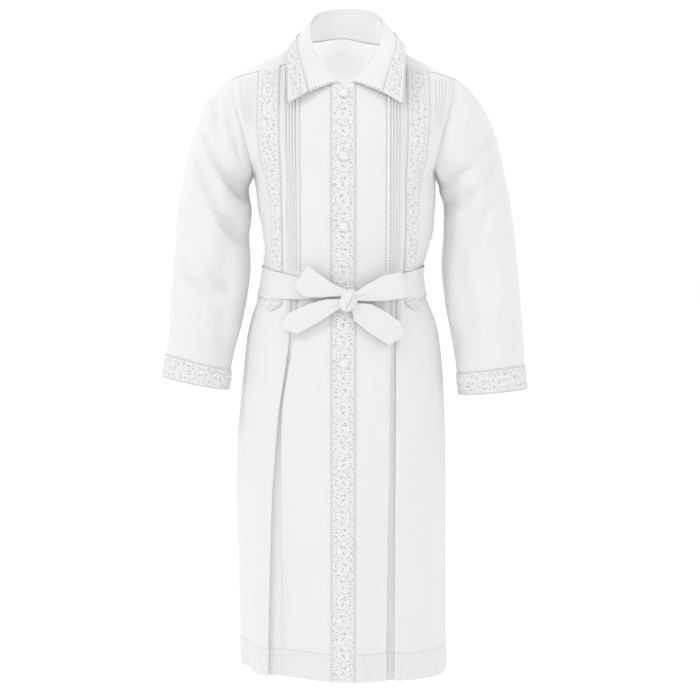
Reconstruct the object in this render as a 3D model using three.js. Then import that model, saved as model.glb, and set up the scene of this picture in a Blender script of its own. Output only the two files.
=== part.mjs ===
// A kittel: the plain white robe worn over the clothes on the high holidays. It keeps the hollow form that
// it has on a wearer. Fronts, back, yoke, sleeves and collar are walls of cloth; embroidered bands lie on
// the fronts, the collar and the cuffs; a sash with a bow closes the waist. Millimetres, +Z up, the front
// faces -Y, and +X is the wearer's left. The origin is the centre of the neck opening.
import * as THREE from "three";

// ---- Driving dimensions ----
const CLOTH = 1.1; // wall of a panel
const TRIM = 1; // wall of an embroidered band
const SEAM = 0.3; // gap between pieces that are sewn to each other
const HEM_Z = -1190;
const UNDERARM_Z = -254;
const WAIST_TOP_Z = -430; // the sash covers the stretch from here
const WAIST_MID_Z = -457;
const WAIST_LOW_Z = -487; // to here
const SHOULDER_X = 209; // the armhole's highest point
const SHOULDER_Z = -71;
const NECK_FRONT_Z = -92; // the neckline at the centre front
const NECK_CORNER = { x: 60, z: -38 }; // where the yoke's front seam meets the neckline
const NECK_SHIFT = 4; // the neck opening sits a little towards the wearer's left
const YOKE_FRONT_SLOPE = -0.235; // fall of the yoke's front seam towards the armhole
const YOKE_BACK_Z = -130;
const PLACKET_HALF = 23;
const TUCK = { count: 5, pitch: 5.5, crest: 4, rise: 1.1, first: 81 };
const SHOULDER_TUCK = { count: 5, rise: 1.1, from: 0.1, to: 0.74, low: -175, high: -150 };
const BAND = { inner: 117, outer: 161, waistOuter: 147 };
const COLLAR_SHIFT = 8.5; // the collar sits a little towards the wearer's left
const SASH = { sideTop: -421, frontTop: -445, sideBottom: -478, frontBottom: -482 };
const SASH_DRAWN = { width: 52, top: 20, bottom: 6 }; // how the bow draws the sash's edges together
const KNOT = { x: 10, y: -122, z: -482, width: 13.5, depth: 13.3, height: 20, slant: 0.22, clear: 0.5 };
const LOOP_DEPTH = { knot: -124, end: -119, behind: -115, turn: 6.5 }; // a loop's depth in front and behind
const SASH_CLEAR = 2.2; // from the body's plain form to the sash's inner face
const BUTTON = { radius: 8.2, height: 4.6, clear: 0.6, heights: [-107, -221, -348, -597] };

// Body sections: half widths towards the wearer's right and left, depths of the front and the back, and the
// exponent that squares the section. Between the shoulder and the underarm they run on into the sleeves.
const BODY = [
  { z: 14, right: 45, left: 45, front: 22, back: 61, square: 2.2 },
  { z: 0, right: 72, left: 72, front: 32, back: 70, square: 2.2 },
  { z: -18, right: 107, left: 106, front: 42, back: 80, square: 2.2 },
  { z: -37, right: 143, left: 140, front: 54, back: 87, square: 2.2 },
  { z: -59, right: 185, left: 180, front: 68, back: 95, square: 2.2 },
  { z: -74, right: 213, left: 211, front: 79, back: 101, square: 2.2 },
  { z: -100, right: 232, left: 232, front: 92, back: 110, square: 2.2 },
  { z: -135, right: 236, left: 236, front: 106, back: 120, square: 2.25 },
  { z: -170, right: 224, left: 224, front: 115, back: 127, square: 2.3 },
  { z: -210, right: 199, left: 200, front: 120, back: 131, square: 2.3 },
  { z: -254, right: 169, left: 174, front: 121, back: 130, square: 2.3 },
  { z: -300, right: 163, left: 175, front: 120, back: 125, square: 2.3 },
  { z: -354, right: 156, left: 171, front: 116, back: 116, square: 2.3 },
  { z: -392, right: 151, left: 160, front: 111, back: 108, square: 2.3 },
  { z: -430, right: 151, left: 149, front: 107, back: 104, square: 2.25 },
  { z: -455, right: 155, left: 150, front: 106, back: 103, square: 2.2 },
  { z: -487, right: 162, left: 158, front: 107, back: 106, square: 2.15 },
  { z: -525, right: 175, left: 173, front: 111, back: 116, square: 2.1 },
  { z: -563, right: 183, left: 181, front: 114, back: 123, square: 2.05 },
  { z: -620, right: 189, left: 187, front: 117, back: 129, square: 2.0 },
  { z: -700, right: 198, left: 191, front: 119, back: 135, square: 2.0 },
  { z: -830, right: 206, left: 194, front: 121, back: 140, square: 2.0 },
  { z: -970, right: 203, left: 193, front: 123, back: 142, square: 2.0 },
  { z: -1190, right: 199, left: 196, front: 125, back: 145, square: 2.0 },
];
const HEM_SHEAR = 0.13; // the hem swings a little: its left side hangs forward of its right

// Armhole: how far out its seam lies at each height.
const ARMHOLE = [
  { z: -71, x: 209 },
  { z: -90, x: 207 },
  { z: -125, x: 199 },
  { z: -165, x: 188 },
  { z: -205, x: 177 },
  { z: -235, x: 171 },
  { z: -256, x: 169 },
];

// Sleeve sections, down the arm: height of the middle, inner and outer edge on each side, middle and half
// depth. Tilt is how much higher the right sleeve's outer edge lies than the middle of the section.
const SLEEVE = [
  { z: -272, innerRight: 176, innerLeft: 180, outerRight: 304, outerLeft: 307, y: 4, depth: 72, tilt: 0 },
  { z: -310, innerRight: 172, innerLeft: 186, outerRight: 311, outerLeft: 315, y: 2, depth: 71, tilt: 0 },
  { z: -360, innerRight: 176, innerLeft: 188, outerRight: 317, outerLeft: 322, y: -1, depth: 69, tilt: 0 },
  { z: -415, innerRight: 175, innerLeft: 185, outerRight: 322, outerLeft: 327, y: -5, depth: 67, tilt: 0 },
  { z: -470, innerRight: 181, innerLeft: 190, outerRight: 325, outerLeft: 333, y: -9, depth: 64, tilt: 1 },
  { z: -525, innerRight: 192, innerLeft: 200, outerRight: 328, outerLeft: 337, y: -14, depth: 61, tilt: 2 },
  { z: -572, innerRight: 205, innerLeft: 209, outerRight: 331, outerLeft: 341, y: -18, depth: 58, tilt: 5 },
  { z: -608, innerRight: 212, innerLeft: 214, outerRight: 335, outerLeft: 342, y: -21, depth: 56, tilt: 7 },
  { z: -628, innerRight: 214, innerLeft: 216, outerRight: 338, outerLeft: 344, y: -22, depth: 55, tilt: 8 },
  { z: -649, innerRight: 217, innerLeft: 218, outerRight: 341, outerLeft: 347, y: -23, depth: 54, tilt: 8 },
];
const SLEEVE_TILT = { right: 1, left: 0.25 }; // the share of the tilt that each sleeve has
const SLEEVE_DROP = { right: -7, left: 9 }; // how much longer each sleeve is than the table
const ELBOW_Z = -415; // the sleeve's length and tilt change below it
const CAP_STEPS = [0, 0.14, 0.3, 0.48, 0.7, 1];
const CUFF_ROWS = 3; // the sleeve's last rings, which the cuff band covers

// Long soft troughs in the sleeves: place round the arm (0 outside, 90 front), drift down the arm, and
// size.
const SLEEVE_FOLDS = [
  { side: -1, at: 72, drift: -60, width: 20, from: -170, to: -470, depth: 5 },
  { side: -1, at: 118, drift: -30, width: 17, from: -250, to: -560, depth: 6 },
  { side: -1, at: 230, drift: 40, width: 22, from: -200, to: -520, depth: 5 },
  { side: 1, at: 100, drift: -62, width: 20, from: -230, to: -540, depth: 5.5 },
  { side: 1, at: 60, drift: -30, width: 18, from: -150, to: -420, depth: 4.5 },
  { side: 1, at: 240, drift: 45, width: 22, from: -200, to: -560, depth: 5 },
];

// Deep soft flutes in the skirt's back: place from the centre back as a share of the quarter girth, and size.
const BACK_FLUTES = [
  { at: -0.72, width: 0.11, depth: 7 },
  { at: -0.38, width: 0.12, depth: 10 },
  { at: 0.02, width: 0.13, depth: 8 },
  { at: 0.42, width: 0.11, depth: 11 },
  { at: 0.75, width: 0.1, depth: 6 },
];

// Inverted pleats of the skirt, one on each front: how far from the middle plane the folded edges of the
// middle panel and of the side panel hang. The right one opens towards the hem and the left one stays a
// narrow dark gap.
const PLEAT_EDGES = [
  { z: -487, rightInner: 82, rightOuter: 99, leftInner: 84, leftOuter: 101 },
  { z: -520, rightInner: 87, rightOuter: 99, leftInner: 87, leftOuter: 100 },
  { z: -560, rightInner: 93, rightOuter: 101, leftInner: 87, leftOuter: 98 },
  { z: -620, rightInner: 104, rightOuter: 109, leftInner: 87, leftOuter: 98 },
  { z: -680, rightInner: 114, rightOuter: 118, leftInner: 87, leftOuter: 98 },
  { z: -760, rightInner: 118, rightOuter: 125, leftInner: 87, leftOuter: 98 },
  { z: -860, rightInner: 119, rightOuter: 131, leftInner: 86, leftOuter: 98 },
  { z: -1190, rightInner: 119, rightOuter: 137, leftInner: 84, leftOuter: 98 },
];
// How far the folded edges stand out from the plain form at the hem, and how much flatter than it the side
// panels hang there.
const PLEAT_STAND = { rightInner: -8, rightOuter: 11, leftInner: -9, leftOuter: -6 };
const PANEL_FLAT = { right: 10, left: 1 };
// The section of a pleat: each point's distance from the edge it belongs to, under the sash and further
// down, and its lift in millimetres or as a share of the pleat's depth. The cloth folds under both panels
// to a piece behind them.
const PLEAT = [
  { edge: "Inner", start: -16, full: -17, lift: 0, deep: 0 },
  { edge: "Inner", start: -5, full: -5, lift: -0.2, deep: 0 },
  { edge: "Inner", start: 0, full: 0, lift: -2, deep: 0 },
  { edge: "Inner", start: 3, full: -2.5, lift: -6, deep: 0 },
  { edge: "Inner", start: 5, full: -11, lift: 0, deep: -0.8 },
  { edge: "Middle", start: 0, full: 0, lift: 0, deep: -1 },
  { edge: "Outer", start: -5, full: 11, lift: 0, deep: -0.8 },
  { edge: "Outer", start: -3, full: 2.5, lift: -6, deep: 0 },
  { edge: "Outer", start: 0, full: 0, lift: -2, deep: 0 },
  { edge: "Outer", start: 5, full: 5, lift: -0.2, deep: 0 },
  { edge: "Outer", start: 16, full: 17, lift: 0, deep: 0 },
];

// Collar, from the centre front round one side to the centre back: the fold at its top and its outer edge.
const COLLAR = [
  { foldX: 8, foldY: -88, foldZ: -86, edgeX: 106, edgeY: -109, edgeZ: -128 },
  { foldX: 20, foldY: -81, foldZ: -77, edgeX: 107, edgeY: -101, edgeZ: -100 },
  { foldX: 33, foldY: -70, foldZ: -60, edgeX: 108, edgeY: -90, edgeZ: -72 },
  { foldX: 49, foldY: -53, foldZ: -40, edgeX: 109, edgeY: -74, edgeZ: -46 },
  { foldX: 60, foldY: -36, foldZ: -16, edgeX: 108, edgeY: -48, edgeZ: -24 },
  { foldX: 66, foldY: -15, foldZ: 4, edgeX: 106, edgeY: -18, edgeZ: -12 },
  { foldX: 68, foldY: 10, foldZ: 22, edgeX: 104, edgeY: 16, edgeZ: -9 },
  { foldX: 66, foldY: 32, foldZ: 42, edgeX: 96, edgeY: 46, edgeZ: -6 },
  { foldX: 55, foldY: 50, foldZ: 57, edgeX: 78, edgeY: 68, edgeZ: -2 },
  { foldX: 31, foldY: 62, foldZ: 64, edgeX: 42, edgeY: 82, edgeZ: 2 },
  { foldX: 0, foldY: 66, foldZ: 66, edgeX: 0, edgeY: 87, edgeZ: 4 },
];
const COLLAR_STEPS = 28;
const COLLAR_WALL = 1.4;
const COLLAR_CLEAR = 4.2; // of the leaf's outer skin, from the body's plain form
const CROWN_CLEAR = 2.6;
const STAND = { inside: 1, above: 1 }; // its lower edge lies inside and above the neckline
const COLLAR_ROLL = { inside: 8, rise: 3, reach: 5 }; // the leaf starts inside and rolls over the fold
const COLLAR_BAND_FROM = 0.66; // the collar's band covers the leaf from this share of its width

// Heights of the panels' sections below the underarm, and shares of the way up from it.
const LOW_ROWS = [
  HEM_Z, -1146, -1050, -950, -850, -760, -690, -630, -585, -550, -518,
  WAIST_LOW_Z, WAIST_MID_Z, WAIST_TOP_Z, -400, -355, -310, -280, UNDERARM_Z,
];
const UP_ROWS = [0.07, 0.17, 0.3, 0.46, 0.64, 0.82, 1];

// ---- Small helpers ----
const clamp = (t) => Math.min(1, Math.max(0, t));
const lerp = (a, b, t) => a + (b - a) * t;
const smooth = (t) => clamp(t) ** 2 * (3 - 2 * clamp(t));
const degrees = (angle) => (angle * Math.PI) / 180;
const shareOf = (value, from, to) => clamp((value - from) / (to - from));

// The value of one column of a table at a height, on a smooth curve through its rows.
function read(table, key, z) {
  const last = table.length - 1;
  let i = 0;
  while (i < last - 1 && z < table[i + 1].z) i++;
  const slope = (k) => {
    const [a, b] = [table[Math.max(0, k - 1)], table[Math.min(last, k + 1)]];
    return (b[key] - a[key]) / (b.z - a.z);
  };
  const [p, q] = [table[i], table[i + 1]];
  const width = q.z - p.z;
  const t = clamp((z - p.z) / width);
  const [t2, t3] = [t * t, t * t * t];
  return (
    p[key] * (2 * t3 - 3 * t2 + 1) +
    q[key] * (3 * t2 - 2 * t3) +
    slope(i) * width * (t3 - 2 * t2 + t) +
    slope(i + 1) * width * (t3 - t2)
  );
}

// ---- The body's plain form ----

// A quarter of the body's section at one height, sampled by angle: width, depth, exponent and length.
const QUARTER_STEPS = 64;
const quarters = new Map();
function quarter(z, side, half) {
  const name = `${z.toFixed(3)} ${side} ${half}`;
  if (!quarters.has(name)) {
    const width = read(BODY, side < 0 ? "right" : "left", z);
    const depth = read(BODY, half, z);
    const power = read(BODY, "square", z);
    const points = [];
    let length = 0;
    for (let k = 0; k <= QUARTER_STEPS; k++) {
      const turn = (k / QUARTER_STEPS) * (Math.PI / 2);
      const [sin, cos] = [Math.sin(turn), Math.cos(turn)];
      const radius = ((sin / width) ** power + (Math.max(cos, 0) / depth) ** power) ** (-1 / power);
      const point = { x: radius * sin, y: radius * Math.max(cos, 0) };
      if (k > 0) length += Math.hypot(point.x - points[k - 1].x, point.y - points[k - 1].y);
      points.push({ ...point, length });
    }
    quarters.set(name, { width, depth, power, points, length });
  }
  return quarters.get(name);
}

// The point of the plain form at a distance round from the centre line, lifted along the outward normal.
function bodyPoint(z, side, half, distance, lift = 0) {
  const { width, depth, power, points, length } = quarter(z, side, half);
  const along = Math.min(Math.max(distance, 0), length);
  let k = 1;
  while (k < QUARTER_STEPS && points[k].length < along) k++;
  const [p, q] = [points[k - 1], points[k]];
  const t = (along - p.length) / (q.length - p.length);
  const [x, y] = [lerp(p.x, q.x, t), lerp(p.y, q.y, t)];
  const normal = new THREE.Vector2(
    (x / width) ** (power - 1) / width,
    (y / depth) ** (power - 1) / depth,
  ).normalize();
  return placed(side * (x + normal.x * lift), (half === "front" ? -1 : 1) * (y + normal.y * lift), z);
}

// The swing of the skirt is a shear that grows towards the hem.
function placed(x, y, z) {
  return new THREE.Vector3(x, y - HEM_SHEAR * smooth(shareOf(z, WAIST_LOW_Z, HEM_Z)) * x, z);
}

// How deep the plain form reaches at a height and a distance from the middle plane.
function depthAt(x, z, side, half) {
  const { width, depth, power } = quarter(z, side, half);
  return depth * Math.max(0, 1 - (Math.abs(x) / width) ** power) ** (1 / power);
}

// The distance round, from the centre line, of the point that lies x from the middle plane.
function distanceAt(x, z, side, half) {
  const { points } = quarter(z, side, half);
  const found = points.findIndex((p) => p.x >= Math.abs(x));
  const k = found < 0 ? QUARTER_STEPS : Math.max(1, found);
  const [p, q] = [points[k - 1], points[k]];
  return lerp(p.length, q.length, clamp((Math.abs(x) - p.x) / (q.x - p.x)));
}

// The height of the shoulders' plain form over a point of the plan.
function heightAt(x, y) {
  const side = x < 0 ? -1 : 1;
  const half = y < 0 ? "front" : "back";
  let [low, high] = [UNDERARM_Z, BODY[0].z];
  for (let k = 0; k < 40; k++) {
    const z = (low + high) / 2;
    const inside = Math.abs(x) < quarter(z, side, half).width && Math.abs(y) < depthAt(x, z, side, half);
    if (inside) low = z;
    else high = z;
  }
  return low;
}

const armholeX = (z) => read(ARMHOLE, "x", z);

// ---- Walls of cloth ----

// Normals of a grid of points, from directions that halve the angle at each bend across. At a fold they are
// longer than one, so that a wall of their length keeps its thickness on both sides of it.
const LONGEST_NORMAL = 1.7;
function normalsOf(grid, closed) {
  const step = (a, b) => new THREE.Vector3().subVectors(b, a).normalize();
  const tangent = (before, at, after) => {
    const direction = new THREE.Vector3();
    if (before) direction.add(step(before, at));
    if (after) direction.add(step(at, after));
    return direction.multiplyScalar(before && after ? 0.5 : 1);
  };
  return grid.map((row, r) =>
    row.map((point, c) => {
      const n = row.length;
      const before = closed ? row[(c + n - 1) % n] : row[c - 1];
      const after = closed ? row[(c + 1) % n] : row[c + 1];
      const across = tangent(before, point, after);
      const up = tangent(grid[r - 1]?.[c], point, grid[r + 1]?.[c]);
      const stretch = Math.min(LONGEST_NORMAL, 1 / Math.max(across.length(), 0.1));
      return new THREE.Vector3().crossVectors(across, up).setLength(stretch);
    }),
  );
}

// A grid moved along its normals. Facing 1 or -1 says which way the normals of that grid point.
function moved(grid, distance, closed = false, normals = normalsOf(grid, closed)) {
  return grid.map((row, r) => row.map((p, c) => p.clone().addScaledVector(normals[r][c], distance)));
}

// A closed wall between an outer and an inner grid with the same rows. keep lists the outer columns that the
// inner grid has, so that relief on the outside can have more columns than the plain inside. A mirrored wall
// splits its quads along the other diagonal, as its mirror image does.
function wallGeometry(outer, inner, { closed = false, mirrored = false, keep = null } = {}) {
  keep ??= outer[0].map((_, c) => c);
  const [rows, wide, narrow] = [outer.length, outer[0].length, keep.length];
  const points = [...outer.flat(), ...inner.flat()];
  const out = (r, c) => r * wide + (c % wide);
  const into = (r, k) => rows * wide + r * narrow + (k % narrow);
  const index = [];
  const quad = (a, b, c, d) => index.push(...(mirrored ? [b, c, d, b, d, a] : [a, b, c, a, c, d]));
  for (let r = 0; r + 1 < rows; r++) {
    for (let c = 0; c < (closed ? wide : wide - 1); c++)
      quad(out(r, c), out(r, c + 1), out(r + 1, c + 1), out(r + 1, c));
    for (let k = 0; k < (closed ? narrow : narrow - 1); k++)
      quad(into(r, k), into(r + 1, k), into(r + 1, k + 1), into(r, k + 1));
    if (!closed) {
      quad(out(r, 0), out(r + 1, 0), into(r + 1, 0), into(r, 0));
      quad(out(r, wide - 1), into(r, narrow - 1), into(r + 1, narrow - 1), out(r + 1, wide - 1));
    }
  }
  const rim = (r, flip) => {
    for (let k = 0; k < (closed ? narrow : narrow - 1); k++) {
      const from = keep[k];
      const to = k + 1 < narrow ? keep[k + 1] : wide;
      const faces = [];
      for (let c = from; c < to; c++) faces.push([into(r, k), out(r, c + 1), out(r, c)]);
      faces.push([into(r, k), into(r, k + 1), out(r, to)]);
      for (const [a, b, c] of faces) index.push(...(flip ? [a, c, b] : [a, b, c]));
    }
  };
  rim(0, false);
  rim(rows - 1, true);
  return closedGeometry(points, index);
}

// A geometry from shared points and triangles, turned so that its faces point outwards.
function closedGeometry(points, index) {
  let volume = 0;
  const cross = new THREE.Vector3();
  for (let i = 0; i < index.length; i += 3) {
    const [a, b, c] = [points[index[i]], points[index[i + 1]], points[index[i + 2]]];
    volume += a.dot(cross.crossVectors(b, c));
  }
  if (volume < 0) index.reverse();
  const geometry = new THREE.BufferGeometry();
  const numbers = points.flatMap((p) => [p.x, p.y, p.z]);
  geometry.setAttribute("position", new THREE.Float32BufferAttribute(numbers, 3));
  geometry.setIndex(index);
  geometry.computeVertexNormals();
  return geometry;
}

const whiteCloth = () => new THREE.MeshStandardMaterial({ color: 0xf1f2f4, roughness: 0.85, metalness: 0 });
const embroidery = () => new THREE.MeshStandardMaterial({ color: 0xf7f8fa, roughness: 0.6, metalness: 0 });

const kittel = new THREE.Group();
kittel.name = "kittel";

function add(name, geometry, material = whiteCloth()) {
  const mesh = new THREE.Mesh(geometry, material);
  mesh.name = name;
  kittel.add(mesh);
  return mesh;
}

// A grid that faces outwards: its normals point away from the middle of the body or the sleeve.
function facing(grid, middle, closed = false) {
  const normals = normalsOf(grid, closed);
  let sum = 0;
  grid.forEach((row, r) =>
    row.forEach((p, c) => {
      sum += normals[r][c].dot(new THREE.Vector3().subVectors(p, middle(p)));
    }),
  );
  return sum > 0 ? 1 : -1;
}
const bodyAxis = (p) => new THREE.Vector3(0, 0, p.z - 40);

// ---- Fronts ----

// The columns of a front, from its edge at the centre to the side seam or the armhole. at is a distance
// round, and share a place between the band and that seam. tuck is the height of the tuck's crest, where the
// column has one.
function frontColumns() {
  const columns = [
    { name: "edge", at: SEAM / 2 },
    { name: "placket", at: PLACKET_HALF },
    { name: "middle", at: 45 },
    { name: "corner", at: 0 },
  ];
  for (let k = 0; k < TUCK.count; k++) {
    const foot = TUCK.first + k * TUCK.pitch;
    columns.push({ name: "tuck", at: foot, pleat: 2 * k, tuck: 0 });
    columns.push({ name: "tuck", at: foot + TUCK.crest, pleat: 2 * k + 1, tuck: TUCK.rise });
  }
  columns.push({ name: "tuck", at: TUCK.first + TUCK.count * TUCK.pitch, pleat: 2 * TUCK.count, tuck: 0 });
  columns.push({ name: "band", at: BAND.inner, share: 0 });
  columns.push({ name: "band", share: 0.5 });
  columns.push({ name: "band", share: 1 });
  const { count, from, to, rise } = SHOULDER_TUCK;
  for (let k = 0; k <= 2 * count; k++) {
    const share = lerp(from, to, (k + (k % 2 ? 0.4 : 0)) / (2 * count));
    columns.push({ name: "side", share, shoulder: k % 2 ? rise : 0, kept: k === 4 || k === 2 * count });
  }
  columns.push({ name: "side", share: 0.88 }, { name: "side", share: 1, kept: true });
  return columns;
}
const FRONT_COLUMNS = frontColumns();
const FIRST_BAND = FRONT_COLUMNS.findIndex((c) => c.name === "band");
const LAST_BAND = FIRST_BAND + 2;
// The plain inside has every column but those that only shape the shoulder's tucks.
const inInside = (column) => !("shoulder" in column) || column.kept;
const FRONT_KEEP = FRONT_COLUMNS.flatMap((column, c) => (inInside(column) ? [c] : []));

const bandOuter = (z) => lerp(BAND.outer, BAND.waistOuter, smooth(shareOf(z, -215, -320)));

// Where the side seam runs, and how much of the girth the armhole cuts off above it.
function seamOf(z, side, half) {
  const plain = quarter(z, side, half).length - SEAM / 2;
  return { plain, cut: z > UNDERARM_Z ? plain - distanceAt(armholeX(z), z, side, half) : 0 };
}

// How far a pleat has grown, and its depth. Under the sash the piece behind comes forward in the middle.
const pleatGrowth = (z) => smooth(shareOf(z, WAIST_LOW_Z, -590));
const pleatDepth = (z, side) =>
  lerp(10, 18, shareOf(z, WAIST_LOW_Z, -640)) - (side < 0 ? 5 * shareOf(z, -900, HEM_Z) : 0);

// Distance round and lift of a pleat's column.
function pleatPlace(k, z, side) {
  const { edge, start, full, lift, deep } = PLEAT[k];
  const name = side < 0 ? "right" : "left";
  const line = (which) => distanceAt(read(PLEAT_EDGES, name + which, z), z, side, "front");
  const stand = (which) => PLEAT_STAND[name + which] * smooth(shareOf(z, WAIST_LOW_Z, HEM_Z));
  const growth = pleatGrowth(z);
  const middle = edge === "Middle";
  const from = middle ? (line("Inner") + line("Outer")) / 2 : line(edge);
  const out = middle ? (stand("Inner") + stand("Outer")) / 2 : stand(edge);
  const rise = middle ? lerp(4, 0, growth) : 0;
  return { at: from + lerp(start, full, growth), lift: out + lift + deep * pleatDepth(z, side) + rise };
}

// Distance round and lift of a column at a height. A plain front has no tucks.
function frontPlace(column, z, side, plain) {
  const seam = seamOf(z, side, "front");
  const skirt = shareOf(z, WAIST_TOP_Z, WAIST_LOW_Z);
  const bodice = { at: column.at ?? 0, lift: 0 };
  if (column.name === "corner") bodice.at = distanceAt(neckX(side), yokeZ(neckX(side)), side, "front");
  if (column.name === "band") bodice.at = lerp(BAND.inner, bandOuter(z), column.share);
  if (column.name === "side") bodice.at = lerp(bandOuter(z), seam.plain - seam.cut, column.share);
  if (column.tuck && !plain) bodice.lift = column.tuck;
  if (column.shoulder && !plain)
    bodice.lift = column.shoulder * shareOf(z, SHOULDER_TUCK.low, SHOULDER_TUCK.high);
  if (skirt === 0) return bodice;
  const low = { at: column.at ?? 0, lift: 0 };
  const firstFold = pleatPlace(0, z, side);
  if (column.pleat !== undefined) Object.assign(low, pleatPlace(column.pleat, z, side));
  else if (column.name === "band" || column.name === "side") {
    const start = pleatPlace(PLEAT.length - 1, z, side);
    const share = column.name === "band" ? lerp(0.07, 0.34, column.share) : lerp(0.34, 1, column.share);
    low.at = lerp(start.at, seam.plain, share);
    const flat = PANEL_FLAT[side < 0 ? "right" : "left"] * smooth(shareOf(z, WAIST_LOW_Z, HEM_Z));
    low.lift = start.lift * (1 - share) ** 2 - flat * Math.sin(Math.PI * share) ** 2;
  } else {
    // The middle panel falls back evenly from the placket to the pleat.
    if (column.name === "corner") low.at = lerp(PLACKET_HALF, firstFold.at, 0.66);
    if (column.name === "middle") low.at = lerp(PLACKET_HALF, firstFold.at, 0.33);
    low.lift = firstFold.lift * smooth(shareOf(low.at, 8, firstFold.at));
  }
  return { at: lerp(bodice.at, low.at, skirt), lift: lerp(bodice.lift, low.lift, skirt) };
}

// The front neckline falls from the yoke's corner to the centre on a curve of this exponent.
const NECK_CURVE = 2.2;
const neckX = (side) => NECK_CORNER.x + side * NECK_SHIFT;
const yokeZ = (x) => NECK_CORNER.z + YOKE_FRONT_SLOPE * (Math.abs(x) - NECK_CORNER.x);
function neckZ(x, side) {
  return lerp(NECK_FRONT_Z, yokeZ(neckX(side)), (Math.abs(x) / neckX(side)) ** NECK_CURVE);
}

// The yoke's front seam is a line of a few points, shared by the front and the yoke. Both walls end there in
// the same slanted face, so that they meet without crossing at the bend of the shoulder.
const SEAM_ACROSS = new THREE.Vector3(0, 0.7, 0.72);
const seamNormal = (side) => new THREE.Vector3(side * 0.22, -0.68, 0.7).normalize();
const SEAM_BAND_X = 157; // the band's outer edge at the seam
const SEAM_INNER_X = [78, 97, 117, 137]; // the seam's corners between the neckline and that edge
const seamX = (share) => lerp(SEAM_BAND_X, SHOULDER_X - 1, share);
const keptSeamX = FRONT_COLUMNS.filter((column) => column.kept).map((column) => seamX(column.share));
const yokeSeamX = (side) => [neckX(side), ...SEAM_INNER_X, SEAM_BAND_X, ...keptSeamX];
function yokeSeam(side) {
  return yokeSeamX(side).map((x) => {
    const z = yokeZ(x);
    return new THREE.Vector3(side * x, -depthAt(x, z, side, "front"), z);
  });
}
function onYokeSeam(x, side) {
  const line = yokeSeam(side);
  let k = 1;
  while (k < line.length - 1 && Math.abs(line[k].x) < Math.abs(x)) k++;
  const t = (Math.abs(x) - Math.abs(line[k - 1].x)) / Math.abs(line[k].x - line[k - 1].x);
  return new THREE.Vector3().lerpVectors(line[k - 1], line[k], t);
}

// The top of a column: on the neckline, or on the yoke's seam. Beyond the band the columns share out the
// seam evenly.
function frontTop(column, side, plain) {
  if (column.name === "side") {
    const point = onYokeSeam(side * seamX(column.share), side);
    return seamTop(point, side, plain ? 0 : (column.shoulder ?? 0));
  }
  let z = -60;
  let point = null;
  for (let k = 0; k < 14; k++) {
    const place = frontPlace(column, z, side, plain);
    point = bodyPoint(z, side, "front", place.at, place.lift);
    z = Math.abs(point.x) < neckX(side) ? neckZ(point.x, side) : yokeZ(point.x);
  }
  if (Math.abs(point.x) < neckX(side) - 1) return { point, z };
  return seamTop(onYokeSeam(point.x, side), side, plain ? 0 : (column.tuck ?? 0));
}
function seamTop(point, side, lift) {
  point.addScaledVector(seamNormal(side), lift).addScaledVector(SEAM_ACROSS, -SEAM / 2);
  return { point, z: point.z };
}

function frontGrid(side, columns, plain = false) {
  const low = LOW_ROWS.map((z) =>
    columns.map((column) => {
      const place = frontPlace(column, z, side, plain);
      return bodyPoint(z, side, "front", place.at, place.lift);
    }),
  );
  const tops = columns.map((column) => frontTop(column, side, plain));
  const up = UP_ROWS.map((share) =>
    columns.map((column, c) => {
      if (share === 1) return tops[c].point;
      const z = lerp(UNDERARM_Z, tops[c].z, share);
      const place = frontPlace(column, z, side, plain);
      const straight = bodyPoint(z, side, "front", place.at, place.lift);
      return straight.lerp(tops[c].point, share ** 6);
    }),
  );
  return [...low, ...up];
}

const fronts = {};
for (const [name, side] of [["right", -1], ["left", 1]]) {
  const outer = frontGrid(side, FRONT_COLUMNS);
  const plain = frontGrid(side, FRONT_COLUMNS.filter((_, c) => FRONT_KEEP.includes(c)), true);
  const face = facing(plain, bodyAxis);
  const inner = moved(plain, -face * CLOTH);
  // The edge at the centre front stays in its own half, and the top takes the slant of the yoke's seam.
  inner.forEach((row, r) => (row[0].x = outer[r][0].x));
  const top = inner[inner.length - 1];
  FRONT_KEEP.forEach((c, k) => {
    const point = plain[plain.length - 1][k];
    if (Math.abs(point.x) > neckX(side) - 1) top[k].copy(point).addScaledVector(seamNormal(side), -CLOTH);
  });
  fronts[name] = { side, outer, plain: frontGrid(side, FRONT_COLUMNS, true), face };
  add(`front_${name}`, wallGeometry(outer, inner, { mirrored: side < 0, keep: FRONT_KEEP }));
}

// A trim that lies on a front: some of its columns and rows, moved out.
function trimOn(front, columns, rows) {
  const normals = normalsOf(front.plain, false);
  const take = (lift) =>
    rows.map((r) =>
      columns.map((c) => front.plain[r][c].clone().addScaledVector(normals[r][c], front.face * lift)),
    );
  return { outer: take(SEAM + TRIM), inner: take(SEAM) };
}
const UNDERARM_ROW = LOW_ROWS.length - 1;
const TOP_ROW = LOW_ROWS.length + UP_ROWS.length - 1;
const range = (from, to) => Array.from({ length: to - from + 1 }, (_, k) => from + k);

// Embroidered bands down the chest, from the yoke to the sash.
for (const [name, front] of Object.entries(fronts)) {
  const rows = range(LOW_ROWS.indexOf(WAIST_TOP_Z), TOP_ROW);
  const { outer, inner } = trimOn(front, range(FIRST_BAND, LAST_BAND), rows);
  add(`chest_band_${name}`, wallGeometry(outer, inner, { mirrored: front.side < 0 }), embroidery());
}

// The placket covers both fronts' edges from the neck to the hem.
{
  const rows = range(0, TOP_ROW);
  const right = trimOn(fronts.right, [1, 0], rows);
  const left = trimOn(fronts.left, [0, 1], rows);
  const join = (key) => rows.map((_, k) => [...right[key][k], ...left[key][k]]);
  add("placket", wallGeometry(join("outer"), join("inner")), embroidery());
}

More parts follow.
